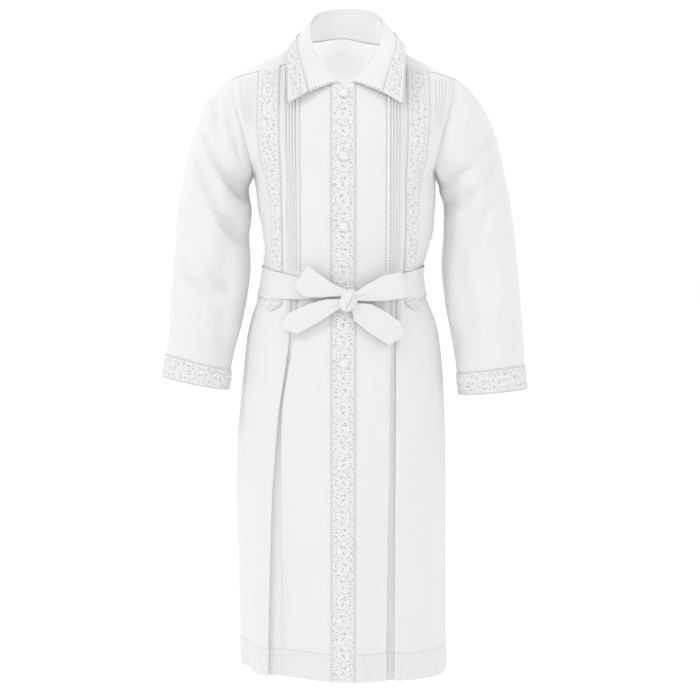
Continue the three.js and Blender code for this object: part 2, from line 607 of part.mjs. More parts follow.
// Pointed ends of the chest bands, which come out below the sash. Each lies on its front between two
// heights.
const POINT = { top: -470, corner: -484, apex: -505, columns: 7 };
for (const [name, front] of Object.entries(fronts)) {
  const rowBelow = LOW_ROWS.indexOf(WAIST_LOW_Z);
  const normals = normalsOf(front.plain, false);
  const first = FIRST_BAND - 1;
  const at = (c, z, lift) => {
    const r = z < WAIST_LOW_Z ? rowBelow - 1 : rowBelow;
    const t = (z - front.plain[r][c].z) / (front.plain[r + 1][c].z - front.plain[r][c].z);
    const point = front.plain[r][c].clone().lerp(front.plain[r + 1][c], t);
    const normal = normals[r][c].clone().lerp(normals[r + 1][c], t).normalize();
    return point.addScaledVector(normal, front.face * lift);
  };
  const grid = (lift) => {
    const lowest = (k) => lerp(POINT.apex, POINT.corner, Math.abs(k / (POINT.columns - 1) - 0.4) / 0.6);
    const row = (height) => range(0, POINT.columns - 1).map((k) => at(first + k, height(k), lift));
    return [row(lowest), row((k) => Math.max(WAIST_LOW_Z, lowest(k) + 4)), row(() => POINT.top)];
  };
  const wall = wallGeometry(grid(SEAM + TRIM), grid(SEAM), { mirrored: front.side < 0 });
  add(`band_point_${name}`, wall, embroidery());
}

// ---- Back ----
const BACK_HALF = [0.1, 0.22, 0.33, 0.44, 0.56, 0.68, 0.8, 0.9, 1]; // shares of the way to the side seam
const BACK_SHARES = [...BACK_HALF.map((share) => -share).reverse(), 0, ...BACK_HALF];

function backLift(share, z) {
  const growth = smooth(shareOf(z, WAIST_LOW_Z + 20, -800));
  const hem = lerp(0.7, 1, shareOf(z, -800, HEM_Z));
  return BACK_FLUTES.reduce((sum, { at, width, depth }) => {
    const away = (share - at) / width;
    return sum - depth * growth * hem * Math.exp(-away * away);
  }, 0);
}

function backGrid() {
  const upper = UP_ROWS.map((share) => lerp(UNDERARM_Z, YOKE_BACK_Z - SEAM / 2, share));
  const heights = [...LOW_ROWS, ...upper];
  return heights.map((z) =>
    BACK_SHARES.map((share) => {
      const side = share < 0 ? -1 : 1;
      const seam = seamOf(z, side, "back");
      const distance = Math.abs(share) * seam.plain - seam.cut * Math.abs(share) ** 3;
      return bodyPoint(z, side, "back", distance, backLift(share, z));
    }),
  );
}
const back = backGrid();
{
  const face = facing(back, bodyAxis);
  add("back", wallGeometry(back, moved(back, -face * CLOTH)));
}

// ---- Yoke ----

// Columns run from the neckline out to the armhole or the back seam, round from one front seam to the other.
const YOKE_NECK = [
  { x: NECK_CORNER.x, y: null },
  { x: 73, y: -32 },
  { x: 79, y: -3 },
  { x: 76, y: 19 },
  { x: 66, y: 39 },
  { x: 51, y: 52 },
  { x: 34, y: 59 },
  { x: 17, y: 63 },
  { x: 0, y: 64 },
];
const YOKE_END_Z = [null, null, -84, -106]; // heights behind the armhole, before the back seam's corner
const YOKE_ROWS = yokeSeamX(1).length;

function yokeColumn(k, side) {
  if (k === 0) return yokeSeam(side).map((p) => p.addScaledVector(SEAM_ACROSS, SEAM / 2));
  const { x, y } = YOKE_NECK[k];
  const neckline = side * x + NECK_SHIFT;
  const neck = new THREE.Vector3(neckline, y, heightAt(neckline, y));
  let end = null;
  if (k === 1) end = new THREE.Vector3(side * SHOULDER_X, 0, SHOULDER_Z);
  else if (k < YOKE_END_Z.length) {
    const z = YOKE_END_Z[k];
    end = bodyPoint(z, side, "back", distanceAt(armholeX(z), z, side, "back"));
  } else {
    const share = (YOKE_NECK.length - 1 - k) / (YOKE_NECK.length - 1 - YOKE_END_Z.length);
    const z = YOKE_BACK_Z + SEAM / 2;
    end = bodyPoint(z, side, "back", share * distanceAt(armholeX(z), z, side, "back"));
  }
  return range(0, YOKE_ROWS - 1).map((r) => {
    const t = r / (YOKE_ROWS - 1);
    if (t === 0) return neck;
    if (t === 1) return end;
    const [px, py] = [lerp(neck.x, end.x, t), lerp(neck.y, end.y, t)];
    return new THREE.Vector3(px, py, heightAt(px, py));
  });
}
const yokeColumns = [
  ...range(0, YOKE_NECK.length - 1).map((k) => yokeColumn(k, -1)),
  ...range(0, YOKE_NECK.length - 2).reverse().map((k) => yokeColumn(k, 1)),
];
{
  const grid = range(0, YOKE_ROWS - 1).map((r) => yokeColumns.map((column) => column[r]));
  const face = facing(grid, (p) => new THREE.Vector3(0, 0, -300));
  const inner = moved(grid, -face * CLOTH);
  for (const [c, side] of [[0, -1], [yokeColumns.length - 1, 1]])
    inner.forEach((row, r) => row[c].copy(grid[r][c]).addScaledVector(seamNormal(side), -CLOTH));
  add("yoke", wallGeometry(grid, inner));
}

// ---- Sleeves and cuffs ----

// Running lengths of a line of points.
function lengthsOf(points) {
  const sums = [0];
  for (let k = 1; k < points.length; k++) sums.push(sums[k - 1] + points[k].distanceTo(points[k - 1]));
  return sums;
}

// The armhole's loop, from the shoulder down the front, under the arm and up the back, with its place round
// the arm.
function armholeLoop(name, side) {
  const front = fronts[name].outer.slice(UNDERARM_ROW).map((row) => row[row.length - 1]);
  const behind = back.slice(UNDERARM_ROW + 1).map((row) => (side < 0 ? row[0] : row[row.length - 1]));
  const ends = range(1, YOKE_END_Z.length - 1).map((k) => yokeColumn(k, side)[YOKE_ROWS - 1]);
  const corners = [ends[0], ...front.slice().reverse(), ...behind, ...ends.slice(1).reverse()];
  const loop = corners.flatMap((p, k) => {
    const next = corners[(k + 1) % corners.length];
    return p.distanceTo(next) > 26 ? [p, p.clone().lerp(next, 0.5)] : [p];
  });
  const under = loop.indexOf(front[0]);
  const lengths = lengthsOf([...loop, loop[0]]);
  const whole = lengths[loop.length];
  const turn = (k) =>
    k <= under
      ? (180 * lengths[k]) / lengths[under]
      : 180 + (180 * (lengths[k] - lengths[under])) / (whole - lengths[under]);
  return loop.map((point, k) => ({ point, turn: turn(k) }));
}

function sleeveFoldLift(side, turn, z) {
  return SLEEVE_FOLDS.filter((fold) => fold.side === side).reduce((sum, fold) => {
    const way = shareOf(z, fold.from, fold.to);
    const strength = Math.sin(Math.PI * way);
    const away = (turn - (fold.at + fold.drift * (way - 0.5))) / fold.width;
    return sum - fold.depth * strength * Math.exp(-away * away);
  }, 0);
}

// One ring of the sleeve below its cap, square to the arm.
function sleevePoint(side, z, turn) {
  const name = side < 0 ? "Right" : "Left";
  const value = (key, at) => read(SLEEVE, key, at);
  const middle = (at) => {
    const x = (value("inner" + name, at) + value("outer" + name, at)) / 2;
    return new THREE.Vector3(side * x, value("y", at), at);
  };
  const above = middle(Math.min(z + 15, SLEEVE[0].z));
  const axis = new THREE.Vector3().subVectors(above, middle(z - 15)).normalize();
  const outward = new THREE.Vector3(side, 0, 0).addScaledVector(axis, -side * axis.x).normalize();
  const forward = new THREE.Vector3(0, -1, 0).addScaledVector(axis, axis.y).normalize();
  const width = (value("outer" + name, z) - value("inner" + name, z)) / 2;
  const angle = degrees(turn);
  const lift = sleeveFoldLift(side, turn, z);
  const which = name.toLowerCase();
  const drop = SLEEVE_DROP[which] * shareOf(z, ELBOW_Z, SLEEVE[SLEEVE.length - 1].z);
  const tilt = SLEEVE_TILT[which] * value("tilt", z);
  return middle(z)
    .addScaledVector(outward, Math.cos(angle) * (width + lift))
    .addScaledVector(forward, Math.sin(angle) * (value("depth", z) + lift))
    .add(new THREE.Vector3(0, 0, Math.cos(angle) * tilt - drop));
}

// The cap's columns leave the armhole outwards and turn down into the first ring.
function capPoint(side, start, turn, share) {
  const end = sleevePoint(side, SLEEVE[0].z, turn);
  const under = (1 - Math.cos(degrees(turn))) / 2; // 0 on the shoulder, 1 under the arm
  const round = Math.sin(degrees(turn)); // 1 in front, -1 behind
  const [over, down] = [lerp(0.9, 0.3, under), lerp(0.44, 0.95, under)];
  const leave = new THREE.Vector3(side * over, -0.35 * round, -down).normalize();
  const arrive = new THREE.Vector3(-side * 0.1, 0, 1).normalize();
  const reach = start.distanceTo(end);
  const first = start.clone().addScaledVector(leave, reach * lerp(0.19, 0.33, under));
  const second = end.clone().addScaledVector(arrive, reach * lerp(0.48, 0.3, under));
  const [a, b] = [1 - share, share];
  const point = new THREE.Vector3()
    .addScaledVector(start, a ** 3)
    .addScaledVector(first, 3 * a * a * b)
    .addScaledVector(second, 3 * a * b * b)
    .addScaledVector(end, b ** 3);
  const out = new THREE.Vector3(side * Math.cos(degrees(turn)), -round, 0).normalize();
  const fold = share < 1 ? sleeveFoldLift(side, turn, point.z) * share : 0;
  return point.addScaledVector(out, fold);
}

for (const [name, side] of [["right", -1], ["left", 1]]) {
  const loop = armholeLoop(name, side);
  const cap = CAP_STEPS.map((share) =>
    loop.map(({ point, turn }) => {
      const clear = share === 0 ? SEAM : 0;
      return capPoint(side, point, turn, share).add(new THREE.Vector3(side * clear, 0, 0));
    }),
  );
  const arm = SLEEVE.slice(1).map(({ z }) => loop.map(({ turn }) => sleevePoint(side, z, turn)));
  const grid = [...cap, ...arm];
  const middle = (p) => new THREE.Vector3(side * 255, 0, Math.min(p.z, -150));
  const face = facing(grid, middle, true);
  add(`sleeve_${name}`, wallGeometry(grid, moved(grid, -face * CLOTH, true), { closed: true }));
  const end = grid.slice(-CUFF_ROWS);
  const cuff = (lift) => moved(end, face * lift, true);
  add(`cuff_band_${name}`, wallGeometry(cuff(SEAM + TRIM), cuff(SEAM), { closed: true }), embroidery());
}

// ---- Collar ----

// Both halves of the collar in one run, from the right end at the centre front round the back to the left
// one, on smooth curves through the table's rows.
function collarRun() {
  const half = (side, key) =>
    COLLAR.map((row, k) => {
      const shift = COLLAR_SHIFT * lerp(0.45, 1, k / (COLLAR.length - 1));
      return new THREE.Vector3(side * row[key + "X"] + shift, row[key + "Y"], row[key + "Z"]);
    });
  const both = (key) => [...half(-1, key), ...half(1, key).reverse().slice(1)];
  const curve = (key) => new THREE.CatmullRomCurve3(both(key), false);
  const [fold, edge] = [curve("fold"), curve("edge")];
  const shares = range(0, COLLAR_STEPS).map((k) => k / COLLAR_STEPS);
  return shares.map((share) => ({ fold: fold.getPoint(share), edge: edge.getPoint(share) }));
}
const collar = collarRun();

// The neckline as a line through the cloth's own corners: along the fronts to the yoke's seam, then along
// the yoke.
function neckLine() {
  const front = (name) => fronts[name].plain[TOP_ROW].slice(0, 4);
  const yoke = yokeColumns.slice(1, -1).map((column) => column[0]);
  return [...front("right"), ...yoke, ...front("left").reverse()];
}

// Points on one line at the same shares of its length as the points of another have of theirs.
function matched(line, other) {
  const [lengths, shares] = [lengthsOf(line), lengthsOf(other)];
  return shares.map((share) => {
    const along = (lengths[lengths.length - 1] * share) / shares[shares.length - 1];
    const k = Math.max(1, lengths.findIndex((length) => length >= along - 1e-6));
    const t = (along - lengths[k - 1]) / (lengths[k] - lengths[k - 1]);
    return line[k - 1].clone().lerp(line[k], t);
  });
}
const neck = matched(neckLine(), collar.map(({ fold }) => fold));

// How far a point lies outside the body's plain form, and the way out of it.
function formGap(p) {
  const value = (x, y, z) => {
    const { width, depth, power } = quarter(z, x < 0 ? -1 : 1, y < 0 ? "front" : "back");
    return (Math.abs(x / width) ** power + Math.abs(y / depth) ** power) ** (1 / power) - 1;
  };
  const [here, small] = [value(p.x, p.y, p.z), 0.5];
  const slope = new THREE.Vector3(
    value(p.x + small, p.y, p.z) - here,
    value(p.x, p.y + small, p.z) - here,
    value(p.x, p.y, p.z + small) - here,
  ).divideScalar(small);
  return { gap: here / slope.length(), out: slope.normalize() };
}
function clearOfBody(point, clearance) {
  for (let k = 0; k < 4 && point.z < BODY[0].z - 1; k++) {
    const { gap, out } = formGap(point);
    if (gap < clearance) point.addScaledVector(out, clearance - gap);
  }
  return point;
}

// The stand runs from just above the neckline to the inner edge of the leaf's roll.
function standGrid() {
  return [0, 0.34, 0.67, 1].map((share) =>
    collar.map(({ fold }, k) => {
      const inward = new THREE.Vector3(-neck[k].x, -neck[k].y, 0).normalize();
      const base = neck[k].clone().addScaledVector(inward, STAND.inside);
      base.z += STAND.above;
      const rise = base.distanceTo(fold);
      const top = base.clone().lerp(fold, Math.max(0.3, (rise - COLLAR_ROLL.inside - SEAM) / rise));
      return base.lerp(top, share);
    }),
  );
}
{
  const grid = standGrid();
  const face = facing(grid, bodyAxis);
  add("collar_stand", wallGeometry(grid, moved(grid, -face * COLLAR_WALL)));
}

// The leaf's cross sections: inner edge, roll over the fold, and the turned-down part in even steps.
function leafGrid() {
  const sections = collar.map(({ fold, edge }, k) => {
    const base = neck[k];
    const down = new THREE.Vector3().subVectors(base, fold);
    const inside = Math.min(COLLAR_ROLL.inside, down.length() * 0.5);
    const reach = new THREE.Vector3().subVectors(edge, fold).normalize();
    const start = fold.clone().addScaledVector(down.normalize(), inside);
    const crown = fold.clone().addScaledVector(reach, COLLAR_ROLL.reach);
    crown.z += COLLAR_ROLL.rise;
    const outwards = new THREE.Vector3(edge.x - fold.x, edge.y - fold.y, 0).normalize();
    clearOfBody(crown, CROWN_CLEAR);
    const turned = [0.3, 0.5, COLLAR_BAND_FROM, 0.83, 1].map((share) => {
      const point = crown.clone().lerp(edge, share);
      const bulge = Math.sin(Math.PI * share) * 4;
      point.addScaledVector(outwards, bulge * 0.6).add(new THREE.Vector3(0, 0, bulge));
      return clearOfBody(point, COLLAR_CLEAR);
    });
    return [start, fold, crown, ...turned];
  });
  return sections[0].map((_, r) => sections.map((section) => section[r]));
}
const leaf = leafGrid();
{
  const normals = normalsOf(leaf, false);
  const up = normals[leaf.length - 2].reduce((sum, n) => sum + n.z, 0) > 0 ? 1 : -1;
  add("collar_leaf", wallGeometry(leaf, moved(leaf, -up * COLLAR_WALL)));
  // The embroidered band along the leaf's outer edge.
  const rows = leaf.slice(-3);
  const lifted = (lift) => rows.map((row, r) =>
    row.map((p, c) => p.clone().addScaledVector(normals[leaf.length - 3 + r][c], up * lift)));
  add("collar_band", wallGeometry(lifted(SEAM + TRIM), lifted(SEAM)), embroidery());
}

// ---- Sash and bow ----

// The sash goes round the waist; in front the bow draws it together.
const SASH_STEPS = 64;
function sashEdges(turn, x) {
  const front = Math.max(0, Math.cos(turn));
  const drawn = Math.exp(-((x / SASH_DRAWN.width) ** 2)) * (front > 0 ? 1 : 0);
  return {
    top: lerp(SASH.sideTop, SASH.frontTop, front ** 1.5) - SASH_DRAWN.top * drawn,
    bottom: lerp(SASH.sideBottom, SASH.frontBottom, front) + SASH_DRAWN.bottom * drawn,
  };
}
function sashGrid(lift) {
  return [0, 0.5, 1].map((share) =>
    range(0, SASH_STEPS - 1).map((k) => {
      const turn = (k / SASH_STEPS) * 2 * Math.PI; // 0 at the centre front
      const side = Math.sin(turn) < 0 ? -1 : 1;
      const half = Math.cos(turn) > 0 ? "front" : "back";
      const away = half === "front" ? Math.min(turn, 2 * Math.PI - turn) : Math.abs(Math.PI - turn);
      const around = (z) => (away / (Math.PI / 2)) * quarter(z, side, half).length;
      const { top, bottom } = sashEdges(turn, around(WAIST_MID_Z));
      const z = lerp(bottom, top, share);
      return bodyPoint(z, side, half, around(z), lift);
    }),
  );
}
add("sash", wallGeometry(sashGrid(SASH_CLEAR + CLOTH), sashGrid(SASH_CLEAR), { closed: true }));

// The knot: a slanted bundle of wound cloth. Its side at a depth and a height is where the bow's parts come
// out.
const knotMiddle = (z) => KNOT.x + KNOT.slant * (z - KNOT.z);
function knotSide(side, y, z) {
  const rest = 1 - ((y - KNOT.y) / KNOT.depth) ** 2 - ((z - KNOT.z) / KNOT.height) ** 2;
  return knotMiddle(z) + side * KNOT.width * Math.sqrt(Math.max(rest, 0.4));
}
{
  const knot = new THREE.SphereGeometry(1, 20, 14);
  const position = knot.getAttribute("position");
  for (let i = 0; i < position.count; i++) {
    const [x, y, z] = [position.getX(i), position.getZ(i), position.getY(i)];
    const wound = 1 - 0.02 * (1 + Math.sin(3 * Math.atan2(y, x) + 2.4 * z)) * (1 - z * z);
    const height = KNOT.z + z * KNOT.height;
    const across = knotMiddle(height) + x * KNOT.width * wound;
    position.setXYZ(i, across, KNOT.y - y * KNOT.depth * wound, height);
  }
  knot.deleteAttribute("normal");
  knot.deleteAttribute("uv");
  add("bow_knot", knot);
}

// A ribbon: rows along its run, each from a lower to an upper point, with a slight curve across. Rows at the
// knot follow its side.
const RIBBON_ACROSS = [0, 0.33, 0.67, 1];
function ribbon(name, side, rows) {
  const grid = rows.map(({ low, high, crown = 1.5, atKnot, clear = KNOT.clear }) =>
    RIBBON_ACROSS.map((share) => {
      const point = new THREE.Vector3(...low).lerp(new THREE.Vector3(...high), share);
      point.y -= Math.sin(Math.PI * share) * crown;
      if (atKnot) point.x = knotSide(side, point.y, point.z) + side * clear;
      return point;
    }),
  );
  const face = grid[0][0].x < grid[1][0].x === side > 0 ? side : -side;
  const back = moved(grid, face * CLOTH);
  rows.forEach((row, r) => row.atKnot && back[r].forEach((p, c) => (p.x = grid[r][c].x)));
  add(name, wallGeometry(grid, back));
}

// A loop runs out in front, turns at its end and comes back behind. Each row is a share of the way out from
// the knot, between the lines of its lower and its upper edge.
function loop(name, side, lower, upper) {
  const curveOf = (line) => new THREE.SplineCurve(line.map(([x, z]) => new THREE.Vector2(x, z)));
  const on = (line, share) => curveOf(line).getPoint(share).toArray();
  const row = (share, y, crown = 1.5) => {
    const [[lowX, lowZ], [highX, highZ]] = [on(lower, share), on(upper, share)];
    return { low: [lowX, y, lowZ], high: [highX, y, highZ], crown, atKnot: share === 0 };
  };
  const { knot, end, behind, turn } = LOOP_DEPTH;
  const out = [0, 0.2, 0.45, 0.7, 0.93].map((share) => row(share, lerp(knot, end, share), 2.5));
  const home = [0.93, 0.7, 0.4, 0.12].map((share) => row(share, lerp(behind, end + turn, share), 0));
  ribbon(name, side, [...out, row(1, end + turn / 2, 0), ...home]);
}
// Points of those lines: across and up.
loop(
  "bow_loop_right",
  -1,
  [[-4, -474], [-30, -475], [-62, -477], [-91, -459]],
  [[-2, -462], [-22, -449], [-42, -435], [-65, -419]],
);
loop(
  "bow_loop_left",
  1,
  [[24, -482], [52, -483], [90, -481], [119, -474]],
  [[17, -468], [44, -453], [72, -438], [106, -430]],
);

// The tails hang from the knot and end in points.
ribbon("bow_tail_right", -1, [
  { low: [-6, -121, -494], high: [-2, -121, -479], atKnot: true, clear: 0.15 },
  { low: [-25, -121, -509], high: [-32, -121, -480] },
  { low: [-50, -119, -525], high: [-62, -118, -488] },
  { low: [-83, -115, -543], high: [-102, -111, -507] },
  { low: [-113, -110, -536], high: [-116, -110, -531] },
]);
ribbon("bow_tail_left", 1, [
  { low: [4, -121, -497], high: [24, -121, -486], atKnot: true },
  { low: [19, -121, -518], high: [52, -121, -489] },
  { low: [50, -120, -543], high: [78, -118, -503] },
  { low: [84, -117, -564], high: [105, -113, -523] },
  { low: [108, -111, -550], high: [112, -111, -546] },
]);

// ---- Buttons ----
function buttonGeometry() {
  const { radius, height } = BUTTON;
  const widest = height * 0.42;
  const profile = [[0, 0], [radius * 0.82, 0], [radius * 0.98, height * 0.24], [radius, widest]];
  for (const angle of [25, 50, 72].map(degrees))
    profile.push([radius * Math.cos(angle), lerp(widest, height, Math.sin(angle))]);
  profile.push([0, height]);
  return new THREE.LatheGeometry(profile.map(([x, y]) => new THREE.Vector2(x, y)), 20);
}
BUTTON.heights.forEach((z, k) => {
  const button = add(`button_${k + 1}`, buttonGeometry(), embroidery());
  const slope = Math.atan2(bodyPoint(z + 20, 1, "front", 0).y - bodyPoint(z - 20, 1, "front", 0).y, 40);
  const surface = bodyPoint(z, 1, "front", 0).y;
  button.rotation.x = Math.PI - slope;
  button.position.set(1, surface - (SEAM + TRIM + BUTTON.clear), z);
});

export default kittel;
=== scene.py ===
# %% [markdown]
# # A kittel
# A kittel is the plain white robe that is worn over the clothes on the high holidays. This lesson dresses
# its solid model: panels of fine cloth, tucks, pleats, embroidered bands, a tied sash and covered buttons.
# The solids come first, and everything here is made around them, in metres, with +Z up and the front
# facing -Y.

# %% Load the solids, with their placements applied to their meshes
import math

import bpy
import numpy as np
from mathutils import Matrix, Vector


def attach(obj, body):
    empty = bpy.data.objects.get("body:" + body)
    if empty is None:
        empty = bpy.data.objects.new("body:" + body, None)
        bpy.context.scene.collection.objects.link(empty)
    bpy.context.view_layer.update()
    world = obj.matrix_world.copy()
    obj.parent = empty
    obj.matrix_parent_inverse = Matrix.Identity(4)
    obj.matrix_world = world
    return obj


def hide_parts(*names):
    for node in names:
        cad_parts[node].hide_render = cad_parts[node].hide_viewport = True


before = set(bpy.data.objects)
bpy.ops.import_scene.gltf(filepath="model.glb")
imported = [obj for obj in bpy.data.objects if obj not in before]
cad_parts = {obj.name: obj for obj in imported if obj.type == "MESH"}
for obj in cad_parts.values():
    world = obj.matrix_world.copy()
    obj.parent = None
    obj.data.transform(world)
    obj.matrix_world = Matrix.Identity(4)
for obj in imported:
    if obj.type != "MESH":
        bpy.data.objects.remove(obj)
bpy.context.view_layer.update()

# %% [markdown]
# ## Camera
# The robe is seen from in front at about the height of its waist, from three metres, with the camera
# tipped down a little. A long lens keeps the sides of the skirt straight.

# %% Place the camera
TARGET = Vector((0.01235, 0.0, -0.5818))
DISTANCE, PITCH, LENS = 3.0, math.radians(4.5), 81.2

lens = bpy.data.cameras.new("studio_camera")
lens.lens, lens.sensor_width = LENS, 36.0
camera = bpy.data.objects.new("studio_camera", lens)
bpy.context.scene.collection.objects.link(camera)
camera.location = TARGET + DISTANCE * Vector((0.0, -math.cos(PITCH), math.sin(PITCH)))
camera.rotation_euler = (math.radians(90) - PITCH, 0.0, 0.0)
bpy.context.scene.camera = camera
print("camera at", tuple(round(v, 3) for v in camera.location))

# %% [markdown]
# ## Shader helpers
# A material is a small sum on sockets. One class wraps a socket and adds a Math node for each operator, so
# that a mask reads like a formula. One method adds any other node.

# %% Wrap sockets, so that sums on them add nodes
class Signal:
    def __init__(self, tree, socket):
        self.tree, self.socket = tree, socket

    def math(self, kind, other=None, swap=False):
        values = [self, other] if other is not None else [self]
        return self.tree.node("ShaderNodeMath", {"operation": kind}, values[::-1] if swap else values)

    def __add__(self, other): return self.math("ADD", other)
    def __radd__(self, other): return self.math("ADD", other, True)
    def __sub__(self, other): return self.math("SUBTRACT", other)
    def __rsub__(self, other): return self.math("SUBTRACT", other, True)
    def __mul__(self, other): return self.math("MULTIPLY", other)
    def __rmul__(self, other): return self.math("MULTIPLY", other, True)
    def __lt__(self, other): return self.math("LESS_THAN", other)
    def __gt__(self, other): return self.math("GREATER_THAN", other)
    def near(self, place, reach): return (self - place).math("ABSOLUTE") < reach


class Finish:
    """A material's node tree, with one method that adds any node."""

    def __init__(self, name):
        self.material = bpy.data.materials.new(name)
        self.material.use_nodes = True
        self.nodes = self.material.node_tree.nodes
        self.links = self.material.node_tree.links
        self.nodes.clear()

    def node(self, kind, settings=None, inputs=(), output=0):
        made = self.nodes.new(kind)
        for key, value in (settings or {}).items():
            setattr(made, key, value)
        pairs = inputs.items() if isinstance(inputs, dict) else enumerate(inputs)
        for key, value in pairs:
            if isinstance(value, Signal):
                self.links.new(value.socket, made.inputs[key])
            else:
                made.inputs[key].default_value = value
        return Signal(self, made.outputs[output]) if made.outputs else made

    def uv(self):
        """The piece's own map: millimetres across and along the cloth."""
        place = self.node("ShaderNodeUVMap", {"uv_map": "cloth"})
        return [self.node("ShaderNodeSeparateXYZ", None, [place], axis) for axis in (0, 1)], place

    def noise(self, place, scale, detail=2.0):
        stretched = self.node("ShaderNodeMapping", None, {"Vector": place, "Scale": scale})
        return self.node("ShaderNodeTexNoise", None, {"Vector": stretched, "Scale": 1.0, "Detail": detail})

    def blend(self, factor, low, high):
        """Colours go through a Mix node. Its colour sockets are 6 and 7, and its colour output is 2."""
        return self.node("ShaderNodeMix", {"data_type": "RGBA"}, {0: factor, 6: low, 7: high}, 2)

    def bump(self, height, distance, strength=1.0):
        return self.node("ShaderNodeBump", None, {"Height": height, "Distance": distance, "Strength": strength})

    def surface(self, **sockets):
        named = {key.replace("_", " "): value for key, value in sockets.items()}
        shader = self.node("ShaderNodeBsdfPrincipled", None, named)
        self.node("ShaderNodeOutputMaterial", None, {"Surface": shader})
        return self.material


# %% [markdown]
# ## Stage
# A white robe is shown on white, in soft light from all round and from the front, which also reaches into
# the neck and the pleats. A lamp high on its right and a weaker one on its left shape the folds, and a small
# one inside lights the yoke's lining, as light from a studio's floor would. The floor lies far below the hem,
# because a wearer's shoulders hold the robe in the air.

# %% Lay the floor
bpy.ops.object.select_all(action="DESELECT")
FLOOR_SIZE, FLOOR_Z = 60.0, -1.9
bpy.ops.mesh.primitive_grid_add(size=FLOOR_SIZE, x_subdivisions=8, y_subdivisions=8, location=(0, 0, FLOOR_Z))
floor = bpy.context.object
floor.name = "studio_floor"
paper = Finish("studio_paper")
grain = paper.noise(paper.node("ShaderNodeTexCoord", None, (), 3), (3.0, 3.0, 3.0))
floor.data.materials.append(paper.surface(
    Base_Color=paper.blend(grain, (0.9, 0.9, 0.9, 1), (0.92, 0.92, 0.92, 1)), Roughness=0.9,
    Emission_Color=(1, 1, 1, 1), Emission_Strength=0.12))

# %% Light the air and set four soft lamps
AIR_SLOPE, AIR_LEVEL = (-0.03, 0.2, 0.3), 0.83
sky = bpy.data.worlds.new("studio_air")
bpy.context.scene.world = sky
sky.use_nodes = True
tree = sky.node_tree
tree.nodes.clear()
direction = tree.nodes.new("ShaderNodeTexCoord")
side = tree.nodes.new("ShaderNodeVectorMath")
side.operation = "DOT_PRODUCT"
side.inputs[1].default_value = AIR_SLOPE
level = tree.nodes.new("ShaderNodeMath")
level.operation = "ADD"
level.inputs[1].default_value = AIR_LEVEL
air = tree.nodes.new("ShaderNodeBackground")
air.inputs["Color"].default_value = (1.0, 1.0, 1.0, 1.0)
out = tree.nodes.new("ShaderNodeOutputWorld")
tree.links.new(direction.outputs["Generated"], side.inputs[0])
tree.links.new(side.outputs["Value"], level.inputs[0])
tree.links.new(level.outputs[0], air.inputs["Strength"])
tree.links.new(air.outputs[0], out.inputs[0])


def lamp(name, place, size, power, target=TARGET):
    light = bpy.data.lights.new(name, "AREA")
    light.shape, light.size, light.energy = "SQUARE", size, power
    made = bpy.data.objects.new(name, light)
    made.location = place
    made.rotation_euler = (target - Vector(place)).to_track_quat("-Z", "Y").to_euler()
    bpy.context.scene.collection.objects.link(made)


lamp("key_lamp", (-2.8, -1.8, 2.1), 0.6, 35.0)
lamp("front_lamp", (0.2, -3.6, 0.3), 0.9, 7.0)
lamp("fill_lamp", (3.0, -1.8, 1.2), 1.0, 15.0)
lamp("neck_lamp", (0.0, 0.0, -0.46), 0.14, 0.85, Vector((0.0, 0.06, 0.1)))
bpy.context.scene.view_settings.view_transform = "Standard"
print("four lamps and the air")

# %% [markdown]
# ## The form
# The robe keeps the shape that it has on a wearer, so each panel follows one plain form: sections of the
# body from the neck to the hem, read from a short table on a smooth curve. The same sizes made the solids,
# so the cloth lies on them. Sizes are in millimetres here and become metres when a mesh is made.

# %% The sizes of the robe
HEM, UNDERARM, WAIST_TOP, WAIST_MID, WAIST_LOW = -1190.0, -254.0, -430.0, -457.0, -487.0
MM, INSIDE, HEM_FOLD, UP, FORWARD = 0.001, (0, 0, -600), 52, Vector((0, 0, 1)), Vector((0, -1, 0))
SHOULDER_X, SHOULDER_Z, NECK_FRONT, NECK_SHIFT = 209.0, -71.0, -92.0, 4.0
NECK_CORNER, YOKE_SLOPE, YOKE_BACK = (60.0, -38.0), -0.235, -130.0
SEAM, TRIM, HEM_SHEAR = 0.3, 1.0, 0.13
PLACKET_HALF, BAND_INNER, BAND_OUTER, BAND_WAIST = 23.0, 117.0, 161.0, 147.0
TUCKS, TUCK_PITCH, TUCK_CREST, TUCK_RISE, TUCK_FIRST = 5, 5.5, 4.0, 1.1, 81.0
PANEL_FLAT = {-1: 10.0, 1: 1.0}
PLEAT_STAND = {("Inner", -1): -8.0, ("Outer", -1): 11.0, ("Inner", 1): -9.0, ("Outer", 1): -6.0}

BODY = """
    z     right left front back square
    14    45    45   22    61   2.2
    0     72    72   32    70   2.2
    -18   107   106  42    80   2.2
    -37   143   140  54    87   2.2
    -59   185   180  68    95   2.2
    -74   213   211  79    101  2.2
    -100  232   232  92    110  2.2
    -135  236   236  106   120  2.25
    -170  224   224  115   127  2.3
    -210  199   200  120   131  2.3
    -254  169   174  121   130  2.3
    -300  163   175  120   125  2.3
    -354  156   171  116   116  2.3
    -392  151   160  111   108  2.3
    -430  151   149  107   104  2.25
    -455  155   150  106   103  2.2
    -487  162   158  107   106  2.15
    -525  175   173  111   116  2.1
    -563  183   181  114   123  2.05
    -620  189   187  117   129  2.0
    -700  198   191  119   135  2.0
    -830  206   194  121   140  2.0
    -970  203   193  123   142  2.0
    -1190 199   196  125   145  2.0
"""
ARMHOLE = """
    z    x
    -71  209
    -90  207
    -125 199
    -165 188
    -205 177
    -235 171
    -256 169
"""
